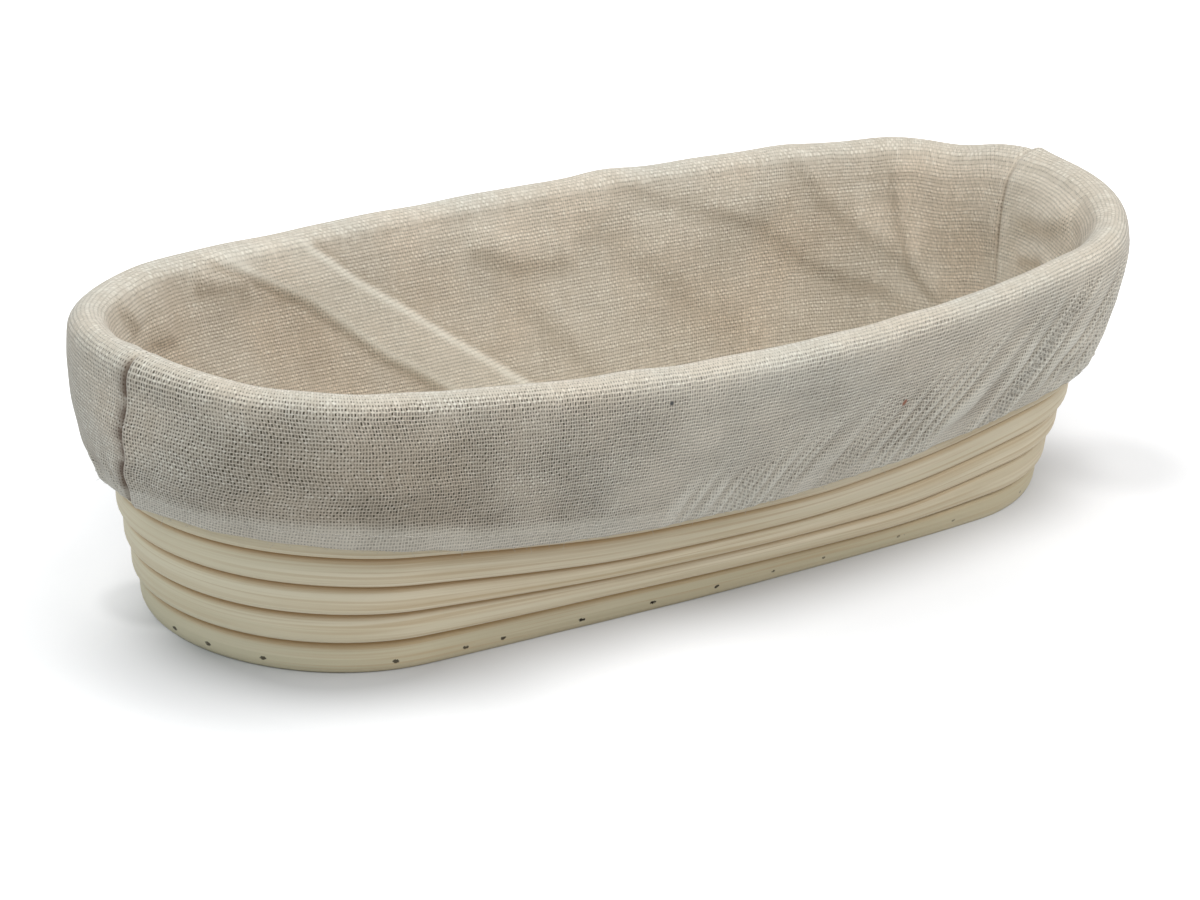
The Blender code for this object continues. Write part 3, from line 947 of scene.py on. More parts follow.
@dataclass(frozen=True)
class Staples:
    """Wire staples through the lowest course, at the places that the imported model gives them."""

    shell: Shell
    crown: float = 0.0050
    leg: float = 0.0110
    wire: float = 0.0008
    height: float = 0.0030
    sunk: float = -0.00002
    bend: float = 0.0009
    tilt: float = 0.0010
    front_spaces: tuple[float, ...] = (1, 3.5, 4.5, 9.5, 6, 3.5, 7.5, 7, 6.5, 6, 5.5, 8.5, 6.5, 9.5, 8, 7)
    rear_spaces: tuple[float, ...] = (1,) * 13
    step_over: tuple[float, float] = (4.25, 4.5)

    @cached_property
    def arcs(self) -> Grid:
        """Arc number of each staple, counted up from the middle of the rear side."""
        total = self.shell.half_lengths(0)[-1]
        front = np.cumsum(self.front_spaces)[:-1] / np.sum(self.front_spaces)
        rear = 1 - np.cumsum(self.rear_spaces)[:-1] / np.sum(self.rear_spaces)
        arcs = np.concatenate(
            [
                self.shell.half_arc(front * total, Side.FRONT, 0),
                self.shell.half_arc(rear * total, Side.REAR, 0),
            ]
        )
        arcs = np.where(arcs < 0.5, arcs + 4, arcs)
        return arcs[(arcs <= self.step_over[0]) | (arcs >= self.step_over[1])]

    def build(self, finish: bpy.types.Material) -> bpy.types.Object:
        """Make every staple as a bent wire, in one piece: a crown along the cane and two legs into it."""
        half = (self.crown - self.wire) / 2
        turn = np.linspace(0, math.pi / 2, 4)
        corner = np.stack([half - self.bend * (1 - np.sin(turn)), self.bend * (np.cos(turn) - 1)], axis=-1)
        right = np.concatenate([corner, [[half, -self.leg]]])
        line = np.concatenate([right[::-1] * (-1, 1), right])
        line[:, 1] -= self.tilt * (half - line[:, 0]) / (2 * half)
        level = np.zeros_like(self.arcs)
        middle, normal, _ = self.shell.outline(level, self.arcs)
        along = np.stack([-normal[:, 1], normal[:, 0]], axis=-1)
        seat = self.shell.radius - self.sunk - self.wire / 2 - self.shell.dent(level, self.arcs)
        out = line[None, :, 1:] + seat[:, None, None]
        flat = middle[:, None] + line[None, :, :1] * along[:, None] + out * normal[:, None]
        way = np.concatenate([flat, np.full((*flat.shape[:2], 1), self.height)], axis=-1)
        up = np.broadcast_to((0.0, 0.0, 1.0), (len(way), 3))
        obj = tubes("staples", way, up, self.wire / 2, 8)
        names = [f"staple_{number:02d}" for number in range(1, len(self.arcs) + 1)]
        return dress(obj, "basket", Slot.STEEL, finish, *names)


# What the cane's material reads on the base, which has neither joints to stain nor staples to show
BASE_MARKS = {"across": 0.0, "level": 1.0, "stapled": 0.0}


@dataclass(frozen=True)
class Basket:
    """The wound cane: a wall of ten courses, a spiral base and the base's core."""

    shell: Shell
    staples: Staples
    section: Section = field(default_factory=Section)
    turn_clearance: float = 0.004
    end_steps: int = 44
    side_steps: int = 44
    step_steps: int = 16
    lowest_finer: int = 3
    # Level of each lower joint between courses, at shares of the way from the left end to the right
    joint_shares: tuple[float, ...] = (0.0, 0.147, 0.228, 0.373, 0.573, 0.68, 0.82, 1.0)
    joint_levels: tuple[tuple[float, ...], ...] = (
        (0.72, 0.73, 0.70, 0.72, 0.52, 0.42, 0.62, 0.70),
        (1.80, 1.81, 1.71, 1.49, 1.30, 1.24, 1.85, 1.85),
        (2.88, 2.89, 2.67, 2.17, 2.00, 2.22, 2.95, 2.95),
        (3.95, 3.97, 3.75, 3.19, 2.98, 3.30, 4.05, 4.05),
    )
    staple_reach: tuple[float, float] = (0.0032, 0.0046)
    tip_start: float = 0.12
    thinning: float = 0.035
    thinning_waves: tuple[float, float] = (0.05, 0.4)
    station_length: float = 0.004

    def turn_arcs(self, finer: int = 1) -> Grid:
        """Return the arc numbers of one turn, from mid-rear round to where it steps over."""
        per_arc = (self.side_steps, self.end_steps, self.side_steps, self.end_steps, self.side_steps)
        runs = [number + np.arange(count * finer) / count / finer for number, count in enumerate(per_arc)]
        arcs = np.concatenate(runs)
        return arcs[(arcs >= 0.5) & (arcs <= self.staples.step_over[0])]

    def wound(self, turns: int) -> tuple[Grid, Grid, Grid]:
        """Return level, arc number and fullness along a winding.

        Each turn is level and then steps over to the next by one level. The two tips are thinned, so that
        they lie in the wedges that the first and the last of these steps leave.

        Args:
            turns: Number of turns.

        Returns:
            Level, arc number and fullness of each station.
        """
        start, end = self.staples.step_over
        share = np.linspace(0, 1, self.step_steps + 2)[1:-1]
        tips = np.linspace(self.tip_start, 1, self.step_steps)[:-1]
        thin = (tips * self.shell.pitch - self.shell.turn_gap) / self.shell.cane
        levels = [-(1 - thin) * 0.5]
        arcs = [start - 4 + (end - start) * tips]
        full = [thin]
        for turn in range(turns):
            run = self.turn_arcs(1 if turn else self.lowest_finer)
            levels.append(np.full(len(run), float(turn)))
            arcs.append(run)
            full.append(np.ones(len(run)))
            if turn < turns - 1:
                levels.append(turn + share * share * (3 - 2 * share))
                arcs.append(start + (end - start) * share)
                full.append(np.ones(len(share)))
        levels.append(turns - 1 + (1 - thin[::-1]) * 0.5)
        arcs.append(start + (end - start) * (1 - tips[::-1]))
        full.append(thin[::-1])
        return np.concatenate(levels), np.concatenate(arcs), np.concatenate(full)

    def joint_table(self, arc: Grid) -> Grid:
        """Return the level of every joint between courses at each station, from the floor to the top.

        The lower joints follow the cane's uneven thickness along the side, and the rest are evenly spaced.
        """
        share = self.shell.share_from_left(arc)
        low = [softened(share, self.joint_shares, row) for row in self.joint_levels]
        top = self.shell.top - 0.5
        count = self.shell.top - len(low)
        high = [low[-1] + (top - low[-1]) * (index + 1) / count for index in range(count)]
        return np.stack([np.full_like(share, -0.5), *low, *high, np.full_like(share, self.shell.top + 0.5)])

    def uneven(self, level: Grid, arc: Grid) -> Grid:
        """Move even levels to where the uneven courses have them, joint by joint."""
        table = self.joint_table(arc)
        course = np.clip(np.floor(level + 0.5), 0, self.shell.top).astype(int)
        share = level + 0.5 - course
        below = np.take_along_axis(table.T, course, axis=1)
        above = np.take_along_axis(table.T, course + 1, axis=1)
        return below + (above - below) * share

    def beside_staple(self, arc: Grid, level: Grid) -> Grid:
        """Return how far along the lowest course each station lies from its nearest staple."""
        lengths = np.diff(self.shell.half_lengths(0))
        per_arc = np.where(self.staples.arcs // 1 % 2 == 0, lengths[1], 2 * lengths[0])
        away = (arc[:, None] - self.staples.arcs) * per_arc
        nearest = np.abs(away).argmin(axis=1)
        return np.where(level < 0.02, away[np.arange(len(arc)), nearest], 1.0)

    def tube_uv(self, points: Grid) -> Grid:
        """Return texture places in metres: the length along the cane and the length round it."""
        along = run_lengths(points.mean(axis=1, keepdims=True), 0)
        around = np.linspace(0, math.pi * self.shell.cane, points.shape[1] + 1)
        return np.stack(np.broadcast_arrays(along, around[None]), axis=-1)

    def build_wall(self, finish: bpy.types.Material) -> bpy.types.Object:
        """Wind the wall: the section is carried along the courses and sheared with the wall's slope."""
        level, arc, full = self.wound(self.shell.courses)
        section = self.section
        share = self.shell.share_from_left(arc)
        squareness = softened(share, section.wall_shares, section.wall_squareness)
        at_rim = smooth_step(self.shell.top - 0.8, self.shell.top, level)
        squareness += (section.rim_squareness - squareness) * at_rim
        out, up = section.ring(np.maximum(squareness, 2.0), smooth_step(0.6, 0.2, level))
        reach = (0.5 - self.turn_clearance) * full
        even = np.clip(level[:, None] + reach[:, None] * up, -0.5, self.shell.top + 0.5)
        uneven = self.uneven(even, arc)
        run = np.arange(len(arc)) * self.station_length
        thinner = ripples(Seed.CANE, run, np.zeros(len(arc)), *self.thinning_waves) * 0.5 + 0.5
        swell = 1 - self.thinning * thinner
        upright = softened(share, section.wall_shares, section.wall_upright)
        lean = upright[:, None] * self.shell.flare * (even - level[:, None]) * smooth_step(0.0, 0.5, out)
        offset = self.shell.radius * (full * swell)[:, None] * out - lean
        offset = offset - self.shell.dent(level, arc)[:, None]
        points = self.shell.place(uneven, arc[:, None], offset)
        points[..., 2] = np.maximum(points[..., 2], 0.0)
        beside = np.where(out > 0.2, self.beside_staple(arc, level)[:, None], 1.0)
        stapled = smooth_step(*self.staple_reach[::-1], np.abs(beside))
        marks = {"across": up, "level": even, "beside": beside, "stapled": stapled}
        obj = surface("wall_winding", points, self.tube_uv(points), "grain", closed=True, attributes=marks)
        return dress(obj, "basket", Slot.CANE, finish, "wall_cane")

    def build_base(self, finish: bpy.types.Material) -> bpy.types.Object:
        """Wind the base: the section is carried along a flat spiral inside the lowest course."""
        level, arc, full = self.wound(self.shell.base_loops)
        out, up = self.section.ring(np.full(len(level), self.section.squareness))
        reach = self.shell.pitch * (0.5 - self.turn_clearance) * full
        offset = -self.shell.pitch * (level[:, None] + 1) + reach[:, None] * out
        points = self.shell.place(np.zeros_like(offset), arc[:, None], offset)
        points[..., 2] = np.maximum(self.shell.first_height + self.shell.radius * full[:, None] * up, 0.0)
        uv = self.tube_uv(points)
        obj = surface("base_spiral", points, uv, "grain", closed=True, attributes=BASE_MARKS)
        return dress(obj, "basket", Slot.CANE, finish, "base_cane")

    def build_core(self, finish: bpy.types.Material) -> bpy.types.Object:
        """Lay the straight core of the base, thinned to the room that the innermost loop leaves."""
        arc = np.linspace(2.0, 3.0, 60)
        side, _, _ = self.shell.outline(np.zeros_like(arc), arc, -self.shell.pitch * self.shell.base_loops)
        room = np.abs(side[:, 1]) - self.shell.radius - self.shell.turn_gap
        out, up = self.section.ring(np.full(len(arc), self.section.squareness))
        across = room[:, None] * out
        height = np.maximum(room[:, None] * (1 + up) - self.shell.flat_depth, 0.0)
        points = np.stack([np.broadcast_to(side[:, :1], across.shape), across, height], axis=-1)
        uv = self.tube_uv(points)
        obj = surface("base_middle", points, uv, "grain", closed=True, attributes=BASE_MARKS)
        return dress(obj, "basket", Slot.CANE, finish, "base_core")

    def build(self, finishes: Finishes) -> list[bpy.types.Object]:
        """Make the wall, the base, its core and the staples."""
        return [
            self.build_wall(finishes.cane),
            self.build_base(finishes.cane),
            self.build_core(finishes.cane),
            self.staples.build(finishes.wire),
        ]


@dataclass(frozen=True)
class Fold:
    """A soft ridge along a line on the cloth, in metres along the rim and down from its crown.

    The flank to the left of the line's way may be steeper than the other, and shade is painted in the hollow
    beside it.
    """

    line: Line
    height: float
    right: float
    left: float
    # How strongly shade is painted in the hollow beside the steeper flank
    painted_shadow: float = 0.16

    def beside(self, across: Grid, down: Grid) -> tuple[Grid, Grid]:
        """Return each point's distance from the line, and a share that fades past the line's ends."""
        away, along = signed_distance(across, down, self.line)
        return away, smooth_step(-0.06, 0.10, along) * smooth_step(1.08, 0.85, along)

    def relief(self, across: Grid, down: Grid) -> Grid:
        """Return the ridge's height at each point: a bell over its distance from the line."""
        away, fade = self.beside(across, down)
        width = np.where(away < 0, self.right, self.left)
        return self.height * bell(away, width) * fade * smooth_step(-0.002, 0.010, down)

    def shade(self, across: Grid, down: Grid) -> Grid:
        """Return from 0 to 1 how deep each point lies in the hollow beside the steeper flank, where shade is
        painted.
        """
        away, fade = self.beside(across, down)
        return bell(away - self.left, 1.3 * self.left) * fade * smooth_step(0.0, 0.008, down)


@dataclass(frozen=True)
class Tuck:
    """A flat pressed band between two lines on the cloth, raised by the cloth folded under it."""

    left: Line
    right: Line
    height: float
    edge: float
    end: float = 0.092
    end_reach: float = 0.014

    def fade(self, down: Grid) -> Grid:
        """Return 1 on the band and 0 past its lower end."""
        return smooth_step(self.end, self.end - self.end_reach, down)

    def relief(self, across: Grid, down: Grid) -> Grid:
        """Return the band's height at each point, with a soft step at both edges."""
        inner, _ = signed_distance(across, down, self.left)
        outer, _ = signed_distance(across, down, self.right)
        band = smooth_step(self.edge, -self.edge, inner) * smooth_step(-self.edge, self.edge, outer)
        return self.height * band * smooth_step(0.0, 0.007, down) * self.fade(down)

    def creases(self, across: Grid, down: Grid, inwards: float) -> Grid:
        """Return from 0 to 1 how near each point lies to a line beside a pressed edge, on its inner side."""
        left, right = (signed_distance(across, down, line)[0] for line in (self.left, self.right))
        near = np.maximum(bell(left + inwards, self.edge), bell(right - inwards, self.edge))
        return near * smooth_step(0.002, 0.008, down) * self.fade(down)


def signed_distance(across: Grid, down: Grid, line: Line) -> tuple[Grid, Grid]:
    """Measure points against a line of straight parts.

    Args:
        across: First coordinate of each point.
        down: Second coordinate of each point.
        line: Corners of the line.

    Returns:
        The distance of each point, positive on the lower side of a line that runs right, and its share
        along the line.
    """
    corners = np.array(line)
    lengths = np.linalg.norm(np.diff(corners, axis=0), axis=1)
    starts = np.concatenate([[0.0], np.cumsum(lengths)])
    best = np.full(across.shape, np.inf)
    signed = np.zeros(across.shape)
    along = np.zeros(across.shape)
    last = len(lengths) - 1
    for index, (start, end, length) in enumerate(zip(corners[:-1], corners[1:], lengths)):
        way = (end - start) / length
        east, south = across - start[0], down - start[1]
        run = east * way[0] + south * way[1]
        low = -np.inf if index == 0 else 0.0
        high = np.inf if index == last else length
        inside = np.clip(run, low, high)
        apart = np.hypot(east - inside * way[0], south - inside * way[1])
        closer = apart < best
        best = np.where(closer, apart, best)
        signed = np.where(closer, np.copysign(apart, way[0] * south - way[1] * east), signed)
        along = np.where(closer, (starts[index] + run) / starts[-1], along)
    return signed, along


TUCK = Tuck(
    left=((0.098, -0.002), (0.138, 0.023), (0.162, 0.044), (0.185, 0.059), (0.223, 0.080)),
    right=((0.136, -0.002), (0.159, 0.019), (0.185, 0.038), (0.218, 0.060), (0.252, 0.080)),
    height=0.0015,
    edge=0.0013,
)
REAR_FOLDS = (
    Fold(
        ((0.262, -0.001), (0.280, 0.009), (0.323, 0.023), (0.345, 0.038), (0.375, 0.048), (0.392, 0.056)),
        height=0.0012,
        right=0.013,
        left=0.0036,
    ),
    Fold(((0.333, 0.002), (0.347, 0.018), (0.368, 0.031), (0.390, 0.042)), 0.0012, 0.009, 0.0034),
    Fold(((0.250, 0.010), (0.276, 0.027), (0.297, 0.043), (0.315, 0.056)), 0.0009, 0.012, 0.0060),
    Fold(((0.372, 0.006), (0.3755, 0.018), (0.387, 0.0425), (0.400, 0.052)), 0.0014, 0.0060, 0.0016),
    Fold(((0.225, 0.032), (0.244, 0.052), (0.262, 0.074)), 0.0010, 0.008, 0.0050),
    Fold(((0.205, 0.014), (0.222, 0.022), (0.246, 0.024)), 0.0016, 0.006, 0.0045),
    Fold(((0.007, 0.003), (0.012, 0.012), (0.020, 0.026)), 0.0016, 0.0040, 0.0022),
    Fold(((0.078, 0.024), (0.080, 0.012), (0.083, 0.001)), 0.0019, 0.010, 0.0055, 0.34),
    Fold(((0.062, 0.002), (0.064, 0.009), (0.067, 0.016)), 0.0018, 0.008, 0.0026, 0.40),
    Fold(((0.098, 0.008), (0.109, 0.0105), (0.119, 0.0135)), 0.0015, 0.006, 0.0036, 0.30),
)
FRONT_FOLDS = (
    Fold(((0.378, 0.036), (0.395, 0.030), (0.412, 0.034)), 0.0028, 0.0045, 0.0024),
    Fold(((0.384, 0.012), (0.398, 0.020), (0.416, 0.022)), 0.0022, 0.0060, 0.0034),
)


FOLDS = {Side.FRONT: FRONT_FOLDS, Side.REAR: REAR_FOLDS}


@dataclass(frozen=True)
class Panel:
    """One panel's grid: its smooth places, its outward side and its own coordinates."""

    side: Side
    points: Grid
    normal: Grid
    across: Grid
    down: Grid
    above_hem: Grid
    row: Grid


@dataclass(frozen=True)
class ClothRelief:
    """Heights of the cloth over its smooth shape, and how far some of them reach."""

    billow: float = 0.0008
    billow_change: float = 0.00055
    cuff_change: float = 0.00016
    gather: float = 0.0013
    rim_reach: float = 0.009
    rim_change: float = 0.00016
    rim_right: float = 0.0004
    rim_left: float = 0.0009
    rim_bump: float = 0.0009
    rim_bumps: tuple[float, ...] = (0.262, 0.333, 0.369)
    lip: float = 0.0004
    front_lip: float = 0.0017
    lip_reach: float = 0.005
    seam_flat: float = 0.0010
    shoulder: float = 0.0009
    right_shoulder: float = 0.0036


@dataclass(frozen=True)
class ClothMarks:
    """Strength of each mark on the cloth, among them painted light and painted shade, and the width of its
    seam lines.
    """

    # Pale marks: haze and painted light on the gathers' ridges; painted light on the rim, the right end
    # inside, the cuff and the middle inside; painted highlight on the tuck's creases; the tuck is paler where
    # doubled
    haze_and_light_on_gathers: float = 0.7
    painted_light_rim: float = 0.10
    painted_light_end: float = 0.30
    pale_cuff: float = 0.27
    pale_cuff_middle: float = 0.24
    pale_tuck: float = 0.30
    painted_highlight_crease: float = 0.5
    painted_light_inside: float = 0.13
    # Painted shade in the hollows between the gathers, on the front cuff, at the rim's right end and beside
    # the tuck's edges
    painted_shade_hollows: float = 0.40
    brown_cuff: float = 0.46
    painted_shade_rim: float = 0.17
    painted_shade_crease: float = 0.42
    fuzzy_rim: float = 0.85
    fuzzy_seam: float = 0.7
    fuzzy_end: float = 0.8
    open_rear: float = 0.6
    open_hollows: float = 0.8
    open_inside: float = 0.32
    doubled_hem: float = 0.75
    seam_line: float = 0.0006
    front_seam: float = 0.0006
    rear_seam: float = 0.0016


@dataclass(frozen=True)
class Liner:
    """The cloth liner: two panels from the floor's middle seam up the wall, over the rim and to the hem."""

    shell: Shell
    columns: int = 370
    seam_columns: tuple[float, ...] = (0.0, 0.0003, 0.0007, 0.0012, 0.0019, 0.0028, 0.0040)
    floor_rows: int = 6
    corner_rows: int = 8
    wall_rows: int = 54
    crown_rows: int = 14
    cuff_rows: int = 40
    fold_rows: int = 8
    inner_rows: int = 4
    corner: float = 0.010
    floor_share: float = 0.86
    heights: ClothRelief = field(default_factory=ClothRelief)
    marks: ClothMarks = field(default_factory=ClothMarks)
    # Height of the hem's lower edge, at shares of the way from the left end to the right
    hem_shares: tuple[float, ...] = (
        0.0, 0.10, 0.16, 0.20, 0.26, 0.33, 0.40, 0.50, 0.62, 0.70, 0.77, 0.82, 0.9, 1.0,
    )
    hem_heights: tuple[float, ...] = (
        0.0437, 0.0434, 0.0424, 0.0390, 0.0355, 0.0337, 0.0324,
        0.0322, 0.0345, 0.0373, 0.0405, 0.0434, 0.0470, 0.0486,
    )
    # Looseness of the front cuff's weave, at shares of the same way
    loose_shares: tuple[float, ...] = (0.0, 0.15, 0.30, 0.45, 0.65, 1.0)
    loose_values: tuple[float, ...] = (1.15, 1.25, 1.25, 1.18, 1.05, 0.90)
    hem_depth: float = 0.0090
    hem_gap: float = 0.0019
    bulge: float = 0.0020
    end_bulge: float = 0.0024
    right_tuck: float = 0.0020
    end_reach: float = 0.05
    seam_clearance: float = 0.00005
    seam_wobble: float = 0.0007
    left_drift: tuple[float, float] = (0.0104, 0.0022)
    right_drift: tuple[float, float] = (0.0120, 0.0060)
    stitch_height: float = 0.0057
    stitch_pitch: float = 0.0045
    stitch_length: float = 0.0034
    stitch_radius: float = 0.00017
    stitch_jitter: float = 0.0004
    stitch_rise: float = 0.0001
    stitch_dip: float = 0.0005
    lint_count: int = 420
    lint_radius: float = 0.000045
    lint_reach: tuple[float, float] = (0.0006, 0.0019)
    lint_margin: float = 0.006
    gather_lean: float = 0.36
    gather_curl: float = 7.0
    gather_space: float = 0.0048
    gather_growth: float = 0.021
    gather_start: float = 0.17
    gather_full: float = 0.0095
    band_edges: tuple[float, float] = (0.0018, 0.0070)
    band_rows: int = 4
    band_half: float = 0.00018
    band_girth: float = 0.012

    @property
    def run(self) -> float:
        """Length of the rim from one end to the other."""
        return float(self.shell.half_lengths(self.shell.top)[-1])

    @cached_property
    def across(self) -> Grid:
        """Length along the rim of each column, closer together beside the two seams."""
        close = np.array(self.seam_columns)
        middle = np.linspace(close[-1], self.run - close[-1], self.columns - 2 * len(close) + 2)
        return np.concatenate([close[:-1], middle, self.run - close[:-1][::-1]])

    @property
    def floor_height(self) -> float:
        """Height of the middle of the cloth on the base."""
        return self.shell.cane - self.shell.flat_depth + self.shell.touch + self.shell.cloth / 2

    @property
    def crown_row(self) -> int:
        """Row that runs along the top of the rim."""
        return self.floor_rows + self.corner_rows + self.wall_rows + self.crown_rows // 2

    @property
    def hem_row(self) -> int:
        """Row that runs along the hem's lower edge."""
        return self.crown_row + self.crown_rows // 2 + self.cuff_rows + self.fold_rows // 2

    def arcs(self, side: Side, left: float = 0.0, right: float = 0.0) -> Grid:
        """Return each column's arc number, where the end seams have drifted round the basket.

        Args:
            side: Which panel.
            left: How far the left seam has drifted towards the front.
            right: How far the right seam has drifted towards the rear.

        Returns:
            One arc number for each column. The drift fades with the cube of the distance from a seam.
        """
        share = self.across / self.run
        run = self.seam_clearance + self.across * (1 - 2 * self.seam_clearance / self.run)
        run = run + side.value * (left * (1 - share) ** 3 + right * share**3)
        return self.shell.half_arc(run, side, self.shell.top)

    def hem_edge(self, side: Side) -> Grid:
        """Return the height of the hem's lower edge at each column."""
        share = self.across / self.run
        if side is Side.REAR:
            middle = min(self.hem_heights)
            ends = self.hem_heights[0] + (self.hem_heights[-1] - self.hem_heights[0]) * share
            return middle + (ends - middle) * (2 * share - 1) ** 2
        return softened(share, self.hem_shares, self.hem_heights)

    def hem_level(self, side: Side, arc: Grid, height: float) -> Grid:
        """Return the level that has a height over the hem's lower edge."""
        _, _, end_share = self.shell.outline(np.zeros_like(arc), arc)
        return (self.hem_edge(side) + height - self.shell.first_height) / self.shell.rise(end_share)

    def rest_shape(self, side: Side) -> Grid:
        """Return the smooth panel, row by row: floor, corner, wall, crown, cuff, hem fold and inner hem."""
        shell = self.shell
        cover, top = shell.cover, shell.top
        arc = self.arcs(side)
        foot = (self.floor_height - shell.first_height) / shell.step
        low = foot + self.corner / shell.step
        bottom = shell.place(foot, arc, -cover)
        bottom[:, 2] = self.floor_height
        wall_foot = shell.place(low, arc, -cover)
        floor_edge = shell.place(foot, arc, -cover - self.corner)
        floor_edge[:, 2] = self.floor_height
        seam = floor_edge * (self.floor_share, 0.0, 1.0) - (0.0, side.value * self.seam_clearance, 0.0)
        rows = []
        for share in np.linspace(0, 1, self.floor_rows, endpoint=False):
            rows.append(seam + (floor_edge - seam) * share)
        for share in np.linspace(0, 1, self.corner_rows, endpoint=False):
            rest = 1 - share
            rows.append(rest**2 * floor_edge + 2 * share * rest * bottom + share**2 * wall_foot)
        for share in np.linspace(0, 1, self.wall_rows, endpoint=False):
            ease = math.sin(share * math.pi / 2)
            arc = self.arcs(side, self.left_drift[0] * ease, self.right_drift[0] * ease)
            rows.append(shell.place(low + (top - low) * share, arc, -cover))
        arc = self.arcs(side, self.left_drift[0], self.right_drift[0])
        for angle in np.linspace(math.pi, 0, self.crown_rows, endpoint=False):
            rows.append(shell.place(top, arc, cover * math.cos(angle), cover * math.sin(angle)))
        turn = self.hem_gap / 2
        end_out = self.end_bulge * bell(self.across, self.end_reach)
        end_out = end_out - self.right_tuck * bell(self.run - self.across, self.end_reach)
        drifts = (self.left_drift, self.right_drift)
        for share in np.linspace(0, 1, self.cuff_rows, endpoint=False):
            left, right = (first + (last - first) * share**2 for first, last in drifts)
            wobble = self.seam_wobble * math.sin(math.pi * share) * math.sin(11 * share + 5 * share**2)
            arc = self.arcs(side, left + wobble, right + wobble)
            channel = self.hem_level(side, arc, turn + shell.cloth / 2)
            offset = cover + self.hem_gap * share**1.6 + self.bulge * math.sin(math.pi * share**0.8)
            offset = offset + end_out * math.sin(math.pi * share**1.4)
            rows.append(shell.place(top + (channel - top) * share, arc, offset))
        arc = self.arcs(side, self.left_drift[1], self.right_drift[1])
        for angle in np.linspace(0, math.pi, self.fold_rows, endpoint=False):
            level = self.hem_level(side, arc, turn + shell.cloth / 2 - turn * math.sin(angle))
            rows.append(shell.place(level, arc, cover + turn + turn * math.cos(angle)))
        for share in np.linspace(0, 1, self.inner_rows):
            level = self.hem_level(side, arc, turn + shell.cloth / 2 + (self.hem_depth - turn) * share)
            rows.append(shell.place(level, arc, cover))
        return np.stack(rows)

    def panel(self, side: Side) -> Panel:
        """Lay out one panel's grid with its own coordinates."""
        points = self.rest_shape(side)
        lengths = run_lengths(points, 0)
        return Panel(
            side=side,
            points=points,
            normal=grid_normals(points) * -side.value,
            across=np.broadcast_to(self.across, lengths.shape),
            down=lengths[self.crown_row] - lengths,
            above_hem=lengths[self.hem_row] - lengths,
            row=np.broadcast_to(np.arange(len(points))[:, None], lengths.shape),
        )

    def gathers(self, panel: Panel) -> tuple[Grid, Grid]:
        """Return from 0 to 1 the ridges and the hollows that the elastic draws into the cuff.

        They are leaning waves of uneven spacing, which fade with the height over the hem.
        """
        seed = Seed[f"{panel.side.name}_GATHERS"]
        above = panel.above_hem
        lean = panel.across - self.gather_lean * above - self.gather_curl * above**2
        drift = ripples(seed, lean, above * 0.15, 0.015, 0.06, 14)
        space = self.gather_space + self.gather_growth * np.maximum(lean - self.gather_start, 0.0)
        count = np.log(space / self.gather_space) / self.gather_growth
        wave = np.cos(2 * math.pi * count + 3.0 * drift)
        ridge = smooth_step(-0.3, 0.85, wave)
        share = panel.across / self.run
        patch = smooth_step(-0.9, 0.5, ripples(seed + 1, panel.across, above, 0.02, 0.08, 14))
        if panel.side is Side.FRONT:
            reach = 0.016 + 0.040 * smooth_step(0.30, 0.85, share)
            strength = 0.10 + 0.90 * smooth_step(0.28, 0.48, share)
        else:
            reach = 0.020 + 0.008 * np.sin(9 * share)
            strength = 0.6 + 0.3 * np.sin(9 * share + 1.0)
        fade = smooth_step(1.0, 0.35, above / reach)
        cuff = smooth_step(-0.006, -0.012, panel.down) * (panel.row <= self.hem_row)
        drawn = strength * fade * cuff * (0.6 + 0.4 * patch) * np.sqrt(space / self.gather_full)
        return ridge * drawn, (1 - ridge) * drawn

    def relief(self, panel: Panel, gathers: Grid) -> Grid:
        """Return how far each point of the cloth stands off its smooth shape.

        It is the sum of soft waves on wall and cuff, the gathers, waves and bumps along the rim, the folds
        and the tuck, a lip beside the seams, which lie flat themselves, and a slack shoulder under the rim.
        """
        across, down, high = panel.across, panel.down, self.heights
        front = panel.side is Side.FRONT
        edge = np.minimum(across, self.run - across)
        seed = Seed[f"{panel.side.name}_RELIEF"]
        inside = smooth_step(0.004, 0.018, down)
        cuff = smooth_step(-0.006, -0.016, down) * (panel.row <= self.hem_row)
        waves = np.maximum(ripples(seed, across, down, 0.022, 0.09), -1.2)
        total = inside * (high.billow + high.billow_change * waves)
        total += cuff * high.cuff_change * ripples(seed + 1, across, down, 0.012, 0.05)
        total += high.gather * gathers * smooth_step(0.0, 0.003, panel.above_hem)
        crown = bell(down, high.rim_reach)
        waves = ripples(seed + 2, across, np.zeros_like(down), 0.02, 0.08, 12)
        total += crown * high.rim_change * (1 + waves)
        total += crown * high.rim_right * bell(self.run - across - 0.010, 0.030)
        total += sum(fold.relief(across, down) for fold in FOLDS[panel.side])
        if not front:
            total += TUCK.relief(across, down)
            for bump in high.rim_bumps:
                total += crown * high.rim_bump * bell(across - bump, 0.011)
        lip = high.lip + (high.front_lip if front else 0.0) * smooth_step(0.004, -0.004, down)
        total += lip * np.exp(-edge / high.lip_reach) * (panel.row < self.hem_row)
        total += crown * high.rim_left * bell(across, 0.022)
        total *= 1 - bell(edge, high.seam_flat)
        shoulder = smooth_step(0.001, 0.012, down) * smooth_step(0.050, 0.012, down)
        total += shoulder * (high.shoulder + high.right_shoulder * smooth_step(0.78, 0.96, across / self.run))
        return total * smooth_step(0.0, 4.0, panel.row.astype(float))

